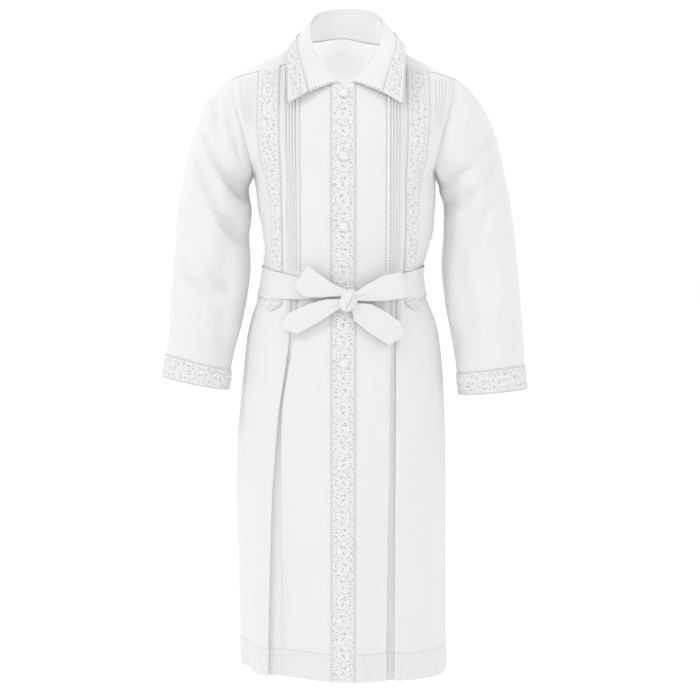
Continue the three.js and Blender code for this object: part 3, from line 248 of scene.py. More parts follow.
SLEEVE = """
    z    innerRight innerLeft outerRight outerLeft y   depth tilt
    -272 176        180       304        307       4   72    0
    -310 172        186       311        315       2   71    0
    -360 176        188       317        322       -1  69    0
    -415 175        185       322        327       -5  67    0
    -470 181        190       325        333       -9  64    1
    -525 192        200       328        337       -14 61    2
    -572 205        209       331        341       -18 58    5
    -608 212        214       335        342       -21 56    7
    -628 214        216       338        344       -22 55    8
    -649 217        218       341        347       -23 54    8
"""
PLEAT_EDGES = """
    z     rightInner rightOuter leftInner leftOuter
    -487  82         99         84        101
    -520  87         99         87        100
    -560  93         101        87        98
    -620  104        109        87        98
    -680  114        118        87        98
    -760  118        125        87        98
    -860  119        131        86        98
    -1190 119        137        84        98
"""
PLEAT = """
    edge   start full lift deep
    Inner  -16   -17  0    0
    Inner  -5    -5   -0.2 0
    Inner  0     0    -2   0
    Inner  3     -2.5 -6   0
    Inner  5     -11  0    -0.8
    Middle 0     0    0    -1
    Outer  -5    11   0    -0.8
    Outer  -3    2.5  -6   0
    Outer  0     0    -2   0
    Outer  5     5    -0.2 0
    Outer  16    17   0    0
"""
COLLAR = """
    foldX foldY foldZ edgeX edgeY edgeZ
    8     -88   -86   106   -109  -128
    20    -81   -77   107   -101  -100
    33    -70   -60   108   -90   -72
    49    -53   -40   109   -74   -46
    60    -36   -16   108   -48   -24
    66    -15   4     106   -18   -12
    68    10    22    104   16    -9
    66    32    42    96    46    -6
    55    50    57    78    68    -2
    31    62    64    42    82    2
    0     66    66    0     87    4
"""


def table(text):
    """A table's rows, each a dictionary of its named columns."""
    head, *lines = [line.split() for line in text.strip().splitlines()]
    value = lambda word: float(word) if word.lstrip("-").replace(".", "").isdigit() else word
    return [dict(zip(head, map(value, line))) for line in lines]


BODY, ARMHOLE, SLEEVE = table(BODY), table(ARMHOLE), table(SLEEVE)
PLEAT_EDGES, PLEAT, COLLAR = table(PLEAT_EDGES), table(PLEAT), table(COLLAR)
SIDES = ((-1, "right"), (1, "left"))
print("body sections:", len(BODY), "sleeve sections:", len(SLEEVE))


# %% Read a table on a smooth curve
def clamp(t): return min(1.0, max(0.0, t))
def lerp(a, b, t): return a + (b - a) * t
def smooth(t): return clamp(t) ** 2 * (3 - 2 * clamp(t))
def share_of(value, start, end): return clamp((value - start) / (end - start))
def gauss(value, middle, width): return np.exp(-((value - middle) / width) ** 2)
def unit(vector): return vector / max(np.linalg.norm(vector), 1e-9)
def side_of(x): return -1 if x < 0 else 1
def vec(*numbers): return np.array(numbers, float)
def summed(steps): return np.concatenate([[0], np.cumsum(steps)])
def lengths_of(line): return summed(np.linalg.norm(np.diff(line, axis=0), axis=1))


def cubic(t, p, q, leave, arrive):
    """The smooth piece from p to q, with its two tangents."""
    return ((2 * t ** 3 - 3 * t ** 2 + 1) * p + (3 * t ** 2 - 2 * t ** 3) * q
            + (t ** 3 - 2 * t ** 2 + t) * leave + (t ** 3 - t ** 2) * arrive)


def read(rows, key, z):
    """A column's value at a height, on a smooth curve through the table's rows."""
    last, i = len(rows) - 1, 0
    while i < last - 1 and z < rows[i + 1]["z"]:
        i += 1

    def slope(k):
        a, b = rows[max(0, k - 1)], rows[min(last, k + 1)]
        return (b[key] - a[key]) / (b["z"] - a["z"])

    p, q = rows[i], rows[i + 1]
    width = q["z"] - p["z"]
    return cubic(clamp((z - p["z"]) / width), p[key], q[key], slope(i) * width, slope(i + 1) * width)


# %% A quarter of the body's section, by angle, and points on it
QUARTER_STEPS = 64
quarters = {}


def quarter(z, side, half):
    name = (round(z, 3), side, half)
    if name not in quarters:
        width, depth = read(BODY, "right" if side < 0 else "left", z), read(BODY, half, z)
        power = read(BODY, "square", z)
        turn = np.linspace(0, np.pi / 2, QUARTER_STEPS + 1)
        sin, cos = np.sin(turn), np.maximum(np.cos(turn), 0)
        radius = ((sin / width) ** power + (cos / depth) ** power) ** (-1 / power)
        x, y = radius * sin, radius * cos
        quarters[name] = (width, depth, power, x, y, lengths_of(np.stack([x, y], axis=1)))
    return quarters[name]


def skirt_share(z): return smooth(share_of(z, WAIST_LOW, HEM))


def placed(x, y, z):
    """The swing of the skirt is a shear that grows towards the hem."""
    return vec(x, y - HEM_SHEAR * skirt_share(z) * x, z)


def body_point(z, side, half, distance, lift=0.0):
    width, depth, power, x, y, length = quarter(z, side, half)
    px, py = (float(np.interp(distance, length, line)) for line in (x, y))
    nx, ny = unit(vec((px / width) ** (power - 1) / width, (max(py, 0) / depth) ** (power - 1) / depth))
    return placed(side * (px + nx * lift), (-1 if half == "front" else 1) * (py + ny * lift), z)


def depth_at(x, z, side, half):
    width, depth, power = quarter(z, side, half)[:3]
    return depth * max(0.0, 1 - (abs(x) / width) ** power) ** (1 / power)


def distance_at(x, z, side, half):
    _, _, _, xs, _, length = quarter(z, side, half)
    return float(np.interp(abs(x), xs, length))


def height_at(x, y):
    side, half = side_of(x), "front" if y < 0 else "back"
    low, high = UNDERARM, BODY[0]["z"]
    for _ in range(30):
        z = (low + high) / 2
        inside = abs(x) < quarter(z, side, half)[0] and abs(y) < depth_at(x, z, side, half)
        low, high = (z, high) if inside else (low, z)
    return low


def armhole_x(z): return read(ARMHOLE, "x", z)


girth = sum(quarter(WAIST_MID, side, half)[5][-1] for side, _ in SIDES for half in ("front", "back"))
print("girth at the waist:", round(girth))

# %% [markdown]
# ## Cloth
# Every panel is a grid that is added flat and then laid on the form. Its rows and columns come from the few
# that shape the solid, on curves that keep each crease and add none. Creases that the solid leaves out are
# added along the cloth's normals: soft troughs and ridges, each in its own size. Solidify then gives the
# cloth its thickness on the inside.

# %% Resample a coarse grid of points without overshoot at a crease
def monotone(values, places, wanted):
    """A curve through values (first axis) at places, which turns back only where the values do."""
    h, shape = np.diff(places), (-1,) + (1,) * (values.ndim - 1)
    secant, slope = np.diff(values, axis=0) / h.reshape(shape), np.zeros_like(values)
    if len(h) > 1:
        w1, w2 = 2 * h[1:] + h[:-1], h[1:] + 2 * h[:-1]
        a, b = secant[:-1], secant[1:]
        same = a * b > 0
        safe_a, safe_b = np.where(same, a, 1.0), np.where(same, b, 1.0)
        mean = (w1 + w2).reshape(shape) / (w1.reshape(shape) / safe_a + w2.reshape(shape) / safe_b)
        slope[1:-1] = np.where(same, mean, 0.0)
    slope[0], slope[-1] = secant[0], secant[-1]
    k = np.clip(np.searchsorted(places, wanted, side="right") - 1, 0, len(h) - 1)
    t, step = ((wanted - places[k]) / h[k]).reshape(shape), h[k].reshape(shape)
    return cubic(t, values[k], values[k + 1], step * slope[k], step * slope[k + 1])


def finer(places, step):
    """Places between the given ones, evenly spaced within each gap and no further apart than its step."""
    steps = np.broadcast_to(step, len(places) - 1)
    parts = [np.linspace(a, b, max(1, math.ceil((b - a) / s)) + 1)[:-1]
             for a, b, s in zip(places, places[1:], steps)]
    return np.concatenate(parts + [[places[-1]]])


def running(grid, axis):
    """Mean running length along an axis of a grid of points."""
    steps = np.linalg.norm(np.diff(grid, axis=axis), axis=2).mean(axis=1 - axis)
    return summed(np.maximum(steps, 1e-3))


def refined(grid, across, along, closed=False):
    """The grid at steps of about across and along, with each point's place on the flat cloth."""
    grid = np.asarray(grid, float)
    if closed:
        grid = np.concatenate([grid[:, -3:], grid, grid[:, :4]], axis=1)
    u, v = running(grid, 1), running(grid, 0)
    wide = finer(u[3:-3] if closed else u, across)
    fine = monotone(np.swapaxes(grid, 0, 1), u, wide)
    high = finer(v, along)
    fine = monotone(np.swapaxes(fine, 0, 1), v, high)
    return fine, wide - wide[0], high


def normals_of(points, closed=False):
    if closed:
        ring = np.concatenate([points[:, -2:-1], points, points[:, 1:2]], axis=1)
        du = ring[:, 2:] - ring[:, :-2]
    else:
        du = np.gradient(points, axis=1)
    normal = np.cross(du, np.gradient(points, axis=0))
    return normal / np.maximum(np.linalg.norm(normal, axis=2, keepdims=True), 1e-9)


def out_of(points, middle, closed=False):
    """Unit normals of a grid that point away from a middle."""
    normal = normals_of(points, closed)
    return normal * (1 if (normal * (points - np.asarray(middle, float))).sum() > 0 else -1)


def looking(points, part, way):
    """Unit normals of a grid, turned so that those of a part of it look a way."""
    normal = normals_of(points)
    return normal * (1 if (normal[part] @ np.array(way)).sum() > 0 else -1)


def raised(points, middle, lift, closed=False):
    """The grid moved out of its middle by a lift for all, or for each point."""
    return points + out_of(points, middle, closed) * np.broadcast_to(lift, points.shape[:2])[..., None]


# %% Make a mesh from a grid that is added flat, with the cloth's own map
def mapped(mesh, where):
    """The map, from each point's place on the flat cloth."""
    layer = mesh.uv_layers[0] if mesh.uv_layers else mesh.uv_layers.new()
    layer.name = "cloth"
    corner = np.empty(len(mesh.loops), dtype=np.int32)
    mesh.loops.foreach_get("vertex_index", corner)
    layer.data.foreach_set("uv", where[corner].ravel())


def flat_grid(name, points, u, v):
    rows, columns = points.shape[:2]
    bpy.ops.object.select_all(action="DESELECT")
    bpy.ops.mesh.primitive_grid_add(x_subdivisions=columns - 1, y_subdivisions=rows - 1, size=1.0)
    piece = bpy.context.object
    piece.name = piece.data.name = name
    piece.data.vertices.foreach_set("co", (points.reshape(-1, 3) * MM).ravel())
    mapped(piece.data, np.stack([np.tile(u, rows), np.repeat(v, columns)], axis=1))
    piece.data.update()
    return piece


def round_ball(name, segments, rings, radius, across, along):
    """A sphere for a small stuffed form, with its map in millimetres."""
    bpy.ops.object.select_all(action="DESELECT")
    bpy.ops.mesh.primitive_uv_sphere_add(segments=segments, ring_count=rings, radius=radius)
    ball = bpy.context.object
    ball.name = ball.data.name = name
    ball.data.uv_layers[0].name = "cloth"
    for corner in ball.data.uv_layers[0].data:
        corner.uv = (corner.uv[0] * across, corner.uv[1] * along)
    return ball


def finished(piece, material, smooth=60.0):
    piece.data.materials.clear()
    piece.data.materials.append(material)
    bpy.ops.object.select_all(action="DESELECT")
    piece.select_set(True)
    bpy.context.view_layer.objects.active = piece
    bpy.ops.object.shade_smooth_by_angle(angle=math.radians(smooth))
    return piece


def applied(piece, kind, **settings):
    bpy.context.view_layer.objects.active = piece
    made = piece.modifiers.new(kind.title(), kind)
    for key, value in settings.items():
        setattr(made, key, value)
    bpy.ops.object.modifier_apply(modifier=made.name)


def turned_out(mesh, faces, way):
    """Faces look the way that is asked for: a function of a face gives its direction."""
    if sum(p.normal.dot(way(p)) * p.area for p in faces) < 0:
        mesh.flip_normals()


def cloth(name, points, u, v, material, wall=0.9, away=INSIDE, weld=False, faces=slice(None), way=None):
    """A grid of points as cloth. It faces away from a place in millimetres, or the way that is given."""
    piece = flat_grid(name, points, u, v)
    if weld:
        applied(piece, "WELD", merge_threshold=1e-5)
    from_middle = lambda p: p.center - Vector(away) * MM
    turned_out(piece.data, piece.data.polygons[faces], way or from_middle)
    applied(piece, "SOLIDIFY", thickness=wall * MM, offset=-1.0, use_quality_normals=True)
    return finished(piece, material)


def standing(piece, node=None):
    """The piece rides with the robe and stands for its solid, which is hidden."""
    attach(piece, "root")
    if node:
        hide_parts(node)


def declared(piece, node, size, parts=()):
    """A sheet of cloth rides with the robe and stands for its solid. Its faces, with those of the parts sewn to
    it, its area of cloth and its cut are printed.
    """
    standing(piece, node)
    flat = sum(p.area for p in piece.data.polygons) / 2
    faces = sum(len(part.data.polygons) for part in (piece, *parts))
    print(f"{piece.name}: {faces} faces, {flat:.4f} square metres of cloth, cut {size}")


# %% [markdown]
# ## Finishes
# The cloth is a fine plain weave with a soft sheen: thin threads both ways, a few thicker ones, and almost
# no gloss. The bands are stitched in satin thread on the same cloth, so they are whiter and shine a little.

# %% Cloth, satin thread and covered buttons
WHITE, BRIGHT, GROUND = (0.77, 0.771, 0.776), (0.9, 0.902, 0.906), (0.785, 0.787, 0.792)
COLLAR_EDGE, BAND_WIDE, EDGE_ROW, EVER = 653.0, 44.0, 2.2, 9e3


def woven(name, tint=WHITE, roughness=0.74, sheen=0.22, thread=0.55, slub=0.02, height=0.05, rows=(), dark=0.36,
          hem=0):
    """Cloth. Each of its rows is an axis, a place on it, a start, an end and a pitch: drawn-thread holes, or a
    darker line when the pitch is 0, which is the sewn hem line, and painted shadow at the feet of the tucks.
    A hem is two layers, so less light comes through it: the cloth below its fold is painted darker, as painted
    shade."""
    f = Finish(name)
    axes, place = f.uv()
    warp, weft = ((a * (2 * math.pi / thread)).math("SINE") for a in axes)
    thick = f.noise(place, (0.9, 0.06, 1.0)) + f.noise(place, (0.05, 0.8, 1.0))
    soft = f.noise(place, (0.012, 0.009, 1.0), 3.0)
    weave = warp * weft * 0.5 + thick * 0.6
    low = tuple(c * (1 - 2 * slub) for c in tint) + (1,)
    colour = f.blend(thick * 0.35 + soft * 0.3, low, tint + (1,))
    # Painted shade: the cloth below the hem's fold is darker.
    if hem:
        colour = f.blend((axes[1] < hem) * 0.16, colour, tuple(c * 0.8 for c in tint) + (1,))
    for axis, at, start, end, pitch in rows:
        across, along = axes[axis], axes[1 - axis]
        holes = across.near(at, 0.95 if pitch else 0.5) * (along > start) * (along < end)
        if pitch:
            holes = holes * ((along * (2 * math.pi / pitch)).math("COSINE") > 0.0)
        # A line of pitch 0 is only a little darker: the sewn hem line, and painted shadow at the tuck feet.
        colour = f.blend(holes, colour, tuple(c * (dark if pitch else 0.74) for c in tint) + (1,))
        weave = weave - holes * 6
    return f.surface(
        Base_Color=colour, Roughness=roughness + (thick - 1.0) * 0.06, Normal=f.bump(weave, height * MM, 0.6),
        Sheen_Weight=sheen, Sheen_Roughness=0.45, Specular_IOR_Level=0.3)


def satin(name, tint, roughness, pitch=0.7):
    """Threads lie across each stitch, so their fine ridges follow the piece's own map."""
    f = Finish(name)
    (u, v), place = f.uv()
    ridge = ((u + v * 0.12) * (2 * math.pi / pitch)).math("SINE")
    wear = f.noise(place, (0.3, 0.3, 1.0))
    low = tuple(c * 0.93 for c in tint) + (1,)
    # The colour is a little darker in the grooves between the thread ridges: painted shade.
    return f.surface(
        Base_Color=f.blend(wear * 0.6 + ridge * 0.2, low, tint + (1,)), Roughness=roughness + wear * 0.08,
        Normal=f.bump(ridge + wear, 0.00008, 0.8), Sheen_Weight=0.2, Specular_IOR_Level=0.5)


cloth_white = woven("kittel_cloth")
sash_white = woven("bow_cloth", WHITE, 0.7, 0.25, slub=0.03)
button_cloth = woven("button_cloth", GROUND, 0.7, 0.2)
borders = [(0, at, -EVER, EVER, 5.6) for at in (EDGE_ROW, BAND_WIDE - EDGE_ROW)]
band_ground = woven("band_ground", GROUND, 0.8, 0.15, 0.5, 0.05, 0.1, borders, dark=0.6)
collar_ground = woven("collar_ground", GROUND, 0.8, 0.15, 0.5, 0.05, 0.1,
                      borders + [(1, at, -EVER, EVER, 6.0) for at in (1.8, COLLAR_EDGE - 1.8)], dark=0.5)
satin_thread = satin("satin_thread", BRIGHT, 0.42)
# Dark grey for the dashes among the stitches: painted shadow.
painted_dash_shadow = woven("painted_dash_shadow", (0.4, 0.4, 0.405), 0.9, 0.0)
print("finishes:", cloth_white.name, sash_white.name, band_ground.name, satin_thread.name)

# %% [markdown]
# ## Fronts
# A front is cut from one length of cloth. Five fine tucks run down beside the chest band and five shorter
# ones beside the armhole; below the sash the same fullness opens as one inverted pleat, whose two edges
# meet in front of a piece behind. The columns are listed once, from the centre front to the side.

# %% The columns of a front
MIDDLE_AT = 45.0


def columns_of_front():
    columns = [dict(name="edge", at=SEAM / 2), dict(name="placket", at=PLACKET_HALF),
               dict(name="middle", at=MIDDLE_AT), dict(name="corner", at=0.0)]
    for k in range(TUCKS):
        foot = TUCK_FIRST + k * TUCK_PITCH
        columns.append(dict(name="tuck", at=foot, pleat=2 * k, tuck=0.0))
        columns.append(dict(name="tuck", at=foot + TUCK_CREST, pleat=2 * k + 1, tuck=TUCK_RISE))
    columns.append(dict(name="tuck", at=TUCK_FIRST + TUCKS * TUCK_PITCH, pleat=2 * TUCKS, tuck=0.0))
    columns.append(dict(name="band", at=BAND_INNER, share=0.0))
    columns += [dict(name="band", share=0.5), dict(name="band", share=1.0)]
    for k in range(2 * TUCKS + 1):
        share, rise = lerp(0.1, 0.74, (k + (0.4 if k % 2 else 0)) / (2 * TUCKS)), TUCK_RISE if k % 2 else 0.0
        columns.append(dict(name="side", share=share, shoulder=rise, kept=k in (4, 2 * TUCKS)))
    return columns + [dict(name="side", share=0.88), dict(name="side", share=1.0, kept=True)]


COLUMNS = columns_of_front()
FIRST_BAND = [c["name"] for c in COLUMNS].index("band")
LOW_ROWS = [HEM, -1146, -1050, -950, -850, -760, -690, -630, -585, -550, -518,
            WAIST_LOW, WAIST_MID, WAIST_TOP, -400, -355, -310, -280, UNDERARM]
UP_ROWS = [0.07, 0.17, 0.3, 0.46, 0.64, 0.82, 1.0]
print("columns of a front:", len(COLUMNS))


# %% Where a column lies at a height
def band_outer(z): return lerp(BAND_OUTER, BAND_WAIST, smooth(share_of(z, -215, -320)))


def seam_of(z, side, half):
    plain = quarter(z, side, half)[5][-1] - SEAM / 2
    return plain, (plain - distance_at(armhole_x(z), z, side, half) if z > UNDERARM else 0.0)


def pleat_place(k, z, side):
    row, name = PLEAT[k], "right" if side < 0 else "left"
    line = lambda which: distance_at(read(PLEAT_EDGES, name + which, z), z, side, "front")
    stand = lambda which: PLEAT_STAND[which, side] * skirt_share(z)
    growth = smooth(share_of(z, WAIST_LOW, -590))
    middle = row["edge"] == "Middle"
    start = (line("Inner") + line("Outer")) / 2 if middle else line(row["edge"])
    out = (stand("Inner") + stand("Outer")) / 2 if middle else stand(row["edge"])
    deep = lerp(6, 7.5, share_of(z, WAIST_LOW, -640)) - (1.5 * share_of(z, -900, HEM) if side < 0 else 0)
    rise = lerp(4, 0, growth) if middle else 0
    return start + lerp(row["start"], row["full"], growth), out + row["lift"] + row["deep"] * deep + rise


def front_place(column, z, side, plain=False):
    seam, cut = seam_of(z, side, "front")
    skirt = share_of(z, WAIST_TOP, WAIST_LOW)
    at, lift = column.get("at", 0.0), 0.0
    kind, share = column["name"], column.get("share", 0.0)
    if kind == "corner":
        at = distance_at(neck_x(side), yoke_z(neck_x(side)), side, "front")
    elif kind == "band":
        at = lerp(BAND_INNER, band_outer(z), share)
    elif kind == "side":
        at = lerp(band_outer(z), seam - cut, share)
    if not plain:
        lift = column.get("tuck", 0.0) or column.get("shoulder", 0.0) * share_of(z, -175, -150)
    if skirt == 0:
        return at, lift
    first_at, first_lift = pleat_place(0, z, side)
    if "pleat" in column:
        low_at, low_lift = pleat_place(column["pleat"], z, side)
    elif kind in ("band", "side"):
        start_at, start_lift = pleat_place(len(PLEAT) - 1, z, side)
        share = lerp(0.07, 0.34, share) if kind == "band" else lerp(0.34, 1, share)
        low_at = lerp(start_at, seam, share)
        flat = PANEL_FLAT[side] * skirt_share(z)
        low_lift = start_lift * (1 - share) ** 2 - flat * math.sin(math.pi * share) ** 2
    else:
        part = {"corner": 0.66, "middle": 0.33}.get(kind)
        low_at = lerp(PLACKET_HALF, first_at, part) if part else column["at"]
        low_lift = first_lift * smooth(share_of(low_at, 8, first_at))
    return lerp(at, low_at, skirt), lerp(lift, low_lift, skirt)


# %% The neckline and the yoke's front seam
SEAM_ACROSS, SEAM_BAND_X, SEAM_INNER_X = vec(0, 0.7, 0.72), 157.0, (78.0, 97.0, 117.0, 137.0)


def neck_x(side): return NECK_CORNER[0] + side * NECK_SHIFT
def yoke_z(x): return NECK_CORNER[1] + YOKE_SLOPE * (abs(x) - NECK_CORNER[0])
def neck_z(x, side): return lerp(NECK_FRONT, yoke_z(neck_x(side)), (abs(x) / neck_x(side)) ** 2.2)
def seam_normal(side): return unit(vec(side * 0.22, -0.68, 0.7))
def seam_x(share): return lerp(SEAM_BAND_X, SHOULDER_X - 1, share)


KEPT_X = [seam_x(c["share"]) for c in COLUMNS if c.get("kept")]


def yoke_seam(side):
    xs = [neck_x(side), *SEAM_INNER_X, SEAM_BAND_X, *KEPT_X]
    return [vec(side * x, -depth_at(x, yoke_z(x), side, "front"), yoke_z(x)) for x in xs]


def on_yoke_seam(x, side):
    line = yoke_seam(side)
    k = 1
    while k < len(line) - 1 and abs(line[k][0]) < abs(x):
        k += 1
    return lerp(line[k - 1], line[k], (abs(x) - abs(line[k - 1][0])) / abs(line[k][0] - line[k - 1][0]))


def front_top(column, side, plain=False):
    """Where a column ends: on the neckline, or on the yoke's seam with its tuck."""
    def on_seam(x, rise):
        lift = 0 if plain else column.get(rise, 0.0)
        return on_yoke_seam(x, side) + seam_normal(side) * lift - SEAM_ACROSS * SEAM / 2

    if column["name"] == "side":
        return on_seam(side * seam_x(column["share"]), "shoulder")
    z = -60.0
    for _ in range(14):
        at, lift = front_place(column, z, side, plain)
        point = body_point(z, side, "front", at, lift)
        z = neck_z(point[0], side) if abs(point[0]) < neck_x(side) else yoke_z(point[0])
    return point if abs(point[0]) < neck_x(side) - 1 else on_seam(point[0], "tuck")


def front_grid(side, columns, plain=False):
    place = lambda z, column: body_point(z, side, "front", *front_place(column, z, side, plain))
    grid = [[place(z, column) for column in columns] for z in LOW_ROWS]
    tops = [front_top(column, side, plain) for column in columns]
    for share in UP_ROWS[:-1]:
        grid.append([lerp(place(lerp(UNDERARM, top[2], share), column), top, share ** 6)
                     for column, top in zip(columns, tops)])
    return np.array(grid + [tops])


fronts = {side: front_grid(side, COLUMNS) for side, _ in SIDES}
plains = {side: front_grid(side, COLUMNS, True) for side, _ in SIDES}
print("front grid:", fronts[1].shape)

# %% [markdown]
# The skirt of a robe on a wearer is never flat: each panel hangs in a few long shallow waves from the sash,
# no two alike, the chest pulls a little towards the armholes, and short gathers leave the sash's edges.

# %% Soft creases of a front, each in its own size
SKIRT_WAVES = """
    side at  drift width depth top  low
    -1   42  8     15    1.3   -520 -1190
    -1   66  12    13    -1.0  -560 -1100
    -1   175 14    22    2.0   -540 -1190
    -1   205 22    20    -1.8  -600 -1190
    -1   238 10    24    2.2   -560 -1190
    1    44  -6    15    1.2   -540 -1190
    1    68  6     12    -1.0  -600 -1150
    1    150 18    20    1.7   -560 -1190
    1    184 14    20    -1.6  -520 -1190
    1    222 22    24    2.2   -600 -1190
"""
CHEST_CREASES = """
    side x    z    alongX alongZ length width depth
    -1   178  -300 -0.45  -1     70     11    2.2
    -1   150  -385 -0.25  -1     48     9     1.8
    -1   182  -238 -0.6   -0.8   40     9     1.7
    -1   125  -400 0.1    -1     34     8     1.3
    -1   56   -300 0.15   -1     130    16    1.0
    1    182  -300 -0.4   -1     72     12    2.2
    1    158  -380 -0.3   -1     50     10    1.9
    1    186  -236 -0.6   -0.8   40     9     1.6
    1    130  -402 0.1    -1     34     8     1.3
    1    60   -320 -0.1   -1     120    16    1.0
"""
SKIRT_WAVES, CHEST_CREASES = table(SKIRT_WAVES), table(CHEST_CREASES)


def crease(points, x, z, along_x, along_z, length, width, depth):
    """A soft trough: deepest at its middle, fading along and across. Negative depth makes a ridge."""
    size = math.hypot(along_x, along_z)
    ax, az = along_x / size, along_z / size
    dx, dz = points[..., 0] - x, points[..., 2] - z
    return -depth * np.exp(-((dx * ax + dz * az) / length) ** 2 - ((dx * az - dz * ax) / width) ** 2)


def creases(rows, points, side, shift=(0, 0), grow=(1, 1)):
    """All troughs of one side of a table, moved and grown alike."""
    return sum(crease(points, side * (c["x"] + shift[0]), c["z"] + shift[1], side * c["alongX"], c["alongZ"],
                      c["length"] * grow[0], c["width"] * grow[1], c["depth"])
               for c in rows if c["side"] == side)


def hem_edge(z):
    """The hem's two layers stand out a little, below a stitched line."""
    return gauss(z, HEM + HEM_FOLD, 1.6) * -0.45 + 0.35 * (z < HEM + HEM_FOLD)


def front_relief(points, side):
    x, z = side * points[..., 0], points[..., 2]
    lift = np.zeros(points.shape[:2])
    for w in SKIRT_WAVES:
        if w["side"] == side:
            way = np.clip((w["top"] - z) / (w["top"] - w["low"]), 0, 1)
            wave = gauss(x, w["at"] + w["drift"] * way, w["width"])
            lift += w["depth"] * np.sin(way * np.pi / 2) ** 1.5 * wave
    lift += creases(CHEST_CREASES, points, side)
    for k, at in enumerate((32, 47, 60, 122, 134, 149, 163)):
        reach = 16 + 9 * math.sin(2.3 * k + side)
        near = gauss(z, WAIST_LOW + 2, reach) + 0.8 * gauss(z, WAIST_TOP, reach * 0.8)
        lift += (0.9 + 0.35 * math.cos(3.1 * k)) * near * gauss(x, at + 2 * math.sin(5 * k), 3.4) * (z < -380)
    seam = np.interp(-z, [-row["z"] for row in ARMHOLE], [row["x"] for row in ARMHOLE])
    return lift + hem_edge(z) - (2.6 if side > 0 else 1.8) * gauss(x, seam - 2.5, 3.5) * gauss(z, -155, 42)


FIRST_TUCK, FIRST_SIDE = ([c["name"] for c in COLUMNS].index(name) for name in ("tuck", "side"))
HEM_LINE = (1, HEM_FOLD, -EVER, EVER, 0)


def tuck_relief(u, places, height):
    """Each tuck is a fold that lies over to the side: it rises slowly and ends in a small step."""
    lift, shoulder = np.zeros(u.shape), np.zeros(u.shape)
    kinds = (FIRST_TUCK, lift, 1.5, 1.5, 0.7), (FIRST_SIDE, shoulder, 1, 1.7, 0)
    for first, sums, power, rise, groove in kinds:
        for k in range(first, first + 2 * TUCKS, 2):
            foot, crest, end = places[k:k + 3]
            share = np.where(u < crest, (u - foot) / (crest - foot), (end - u) / (end - crest))
            sums += np.clip(share, 0, 1) ** power * rise - groove * gauss(u, foot, 1.0)
    chest = np.clip((height - WAIST_TOP) / 12, 0, 1) * np.clip((-52 - height) / 8, 0, 1)
    return lift * chest + shoulder * np.clip((height + 176) / 20, 0, 1) * np.clip((-72 - height) / 6, 0, 1)


def dressed_front(side, name):
    places, heights = running(fronts[side], 1), running(fronts[side], 0)
    steps = [{"tuck": 0.9, "side": 2.2}.get(c["name"], 4.0) for c in COLUMNS[:-1]]
    fine, u, v = refined(fronts[side], steps, 6.0)
    fine = raised(fine, INSIDE, front_relief(fine, side) + tuck_relief(u[None, :], places, fine[..., 2]))
    waist, top = heights[LOW_ROWS.index(WAIST_TOP)], heights[-1]
    holes = [(0, places[FIRST_TUCK] - 2.4, waist, top, 5.8), (1, top - 2.0, places[FIRST_TUCK - 1], EVER, 5.0)]
    # Thin darker lines at the foot of each tuck, under its step: painted shadow.
    foot_shadows = [(0, places[FIRST_TUCK + 2 * k], waist, top, 0) for k in range(1, TUCKS + 1)]
    white = woven(name + "_weave", rows=[*holes, HEM_LINE, *foot_shadows], hem=HEM_FOLD)
    piece = cloth(name + "_cloth", fine, u, v, white)
    declared(piece, name, (0.36, 1.16))


for side, name in SIDES:
    dressed_front(side, "front_" + name)

# %% [markdown]
# ## Back
# The back is one wide panel under the yoke. Below the waist its fullness falls in deep soft flutes.

# %% Lay the back's panel
BACK_FLUTES = """
    at    width depth
    -0.72 0.11  7
    -0.38 0.12  10
    0.02  0.13  8
    0.42  0.11  11
    0.75  0.1   6
"""
BACK_FLUTES = table(BACK_FLUTES)
BACK_HALF = (0.1, 0.22, 0.33, 0.44, 0.56, 0.68, 0.8, 0.9, 1.0)
BACK_SHARES = [-s for s in BACK_HALF[::-1]] + [0.0] + list(BACK_HALF)


def back_lift(share, z):
    growth = smooth(share_of(z, WAIST_LOW + 20, -800)) * lerp(0.7, 1, share_of(z, -800, HEM))
    return sum(-f["depth"] * growth * math.exp(-((share - f["at"]) / f["width"]) ** 2) for f in BACK_FLUTES)


def back_point(share, z):
    side = side_of(share)
    seam, cut = seam_of(z, side, "back")
    distance = abs(share) * seam - cut * abs(share) ** 3
    return body_point(z, side, "back", distance, back_lift(share, z))


back_heights = LOW_ROWS + [lerp(UNDERARM, YOKE_BACK - SEAM / 2, share) for share in UP_ROWS]
back_grid = np.array([[back_point(share, z) for share in BACK_SHARES] for z in back_heights])


def back_relief(points):
    x, z = points[..., 0], points[..., 2]
    lift = 0.9 * np.sin(x * 0.035 + 1.1) * np.clip((z - HEM) / 700, 0, 1) * gauss(z, -640, 260)
    for k, at in enumerate((-122, -84, -47, -12, 25, 61, 96, 130)):
        reach = 22 + 10 * math.sin(1.9 * k)
        near = gauss(z, WAIST_LOW, reach) + 0.9 * gauss(z, WAIST_TOP + 4, reach)
        lift += (1.5 + 0.5 * math.sin(4.1 * k)) * near * gauss(x, at + 3 * math.cos(7 * k), 5.5)
    lift += crease(points, -112, -250, 0.5, -1, 70, 13, 2.6) + crease(points, 116, -262, -0.5, -1, 64, 12, 2.4)
    lift += crease(points, -40, -330, 0.12, -1, 110, 18, 1.6) + crease(points, 52, -345, -0.1, -1, 100, 18, 1.6)
    return lift + hem_edge(z)


fine, u, v = refined(back_grid, 4.2, 7.0)
# The back's hem band is painted darker too: painted shade.
back_white = woven("back_weave", rows=[HEM_LINE], hem=HEM_FOLD)
back = cloth("back_cloth", raised(fine, INSIDE, back_relief(fine)), u, v, back_white)
declared(back, "back", (0.60, 1.08))

# %% [markdown]
# ## Yoke
# The yoke joins the two fronts over the shoulders and carries the whole robe. Its front edge is set a hand's
# breadth in front of the shoulder line.

# %% Lay the yoke over the shoulders
YOKE_NECK = [(60.0, None), (73.0, -32.0), (79.0, -3.0), (76.0, 19.0), (66.0, 39.0), (51.0, 52.0), (34.0, 59.0),
             (17.0, 63.0), (0.0, 64.0)]
YOKE_ENDS = (None, None, -84.0, -106.0)
YOKE_ROWS = len(yoke_seam(1))


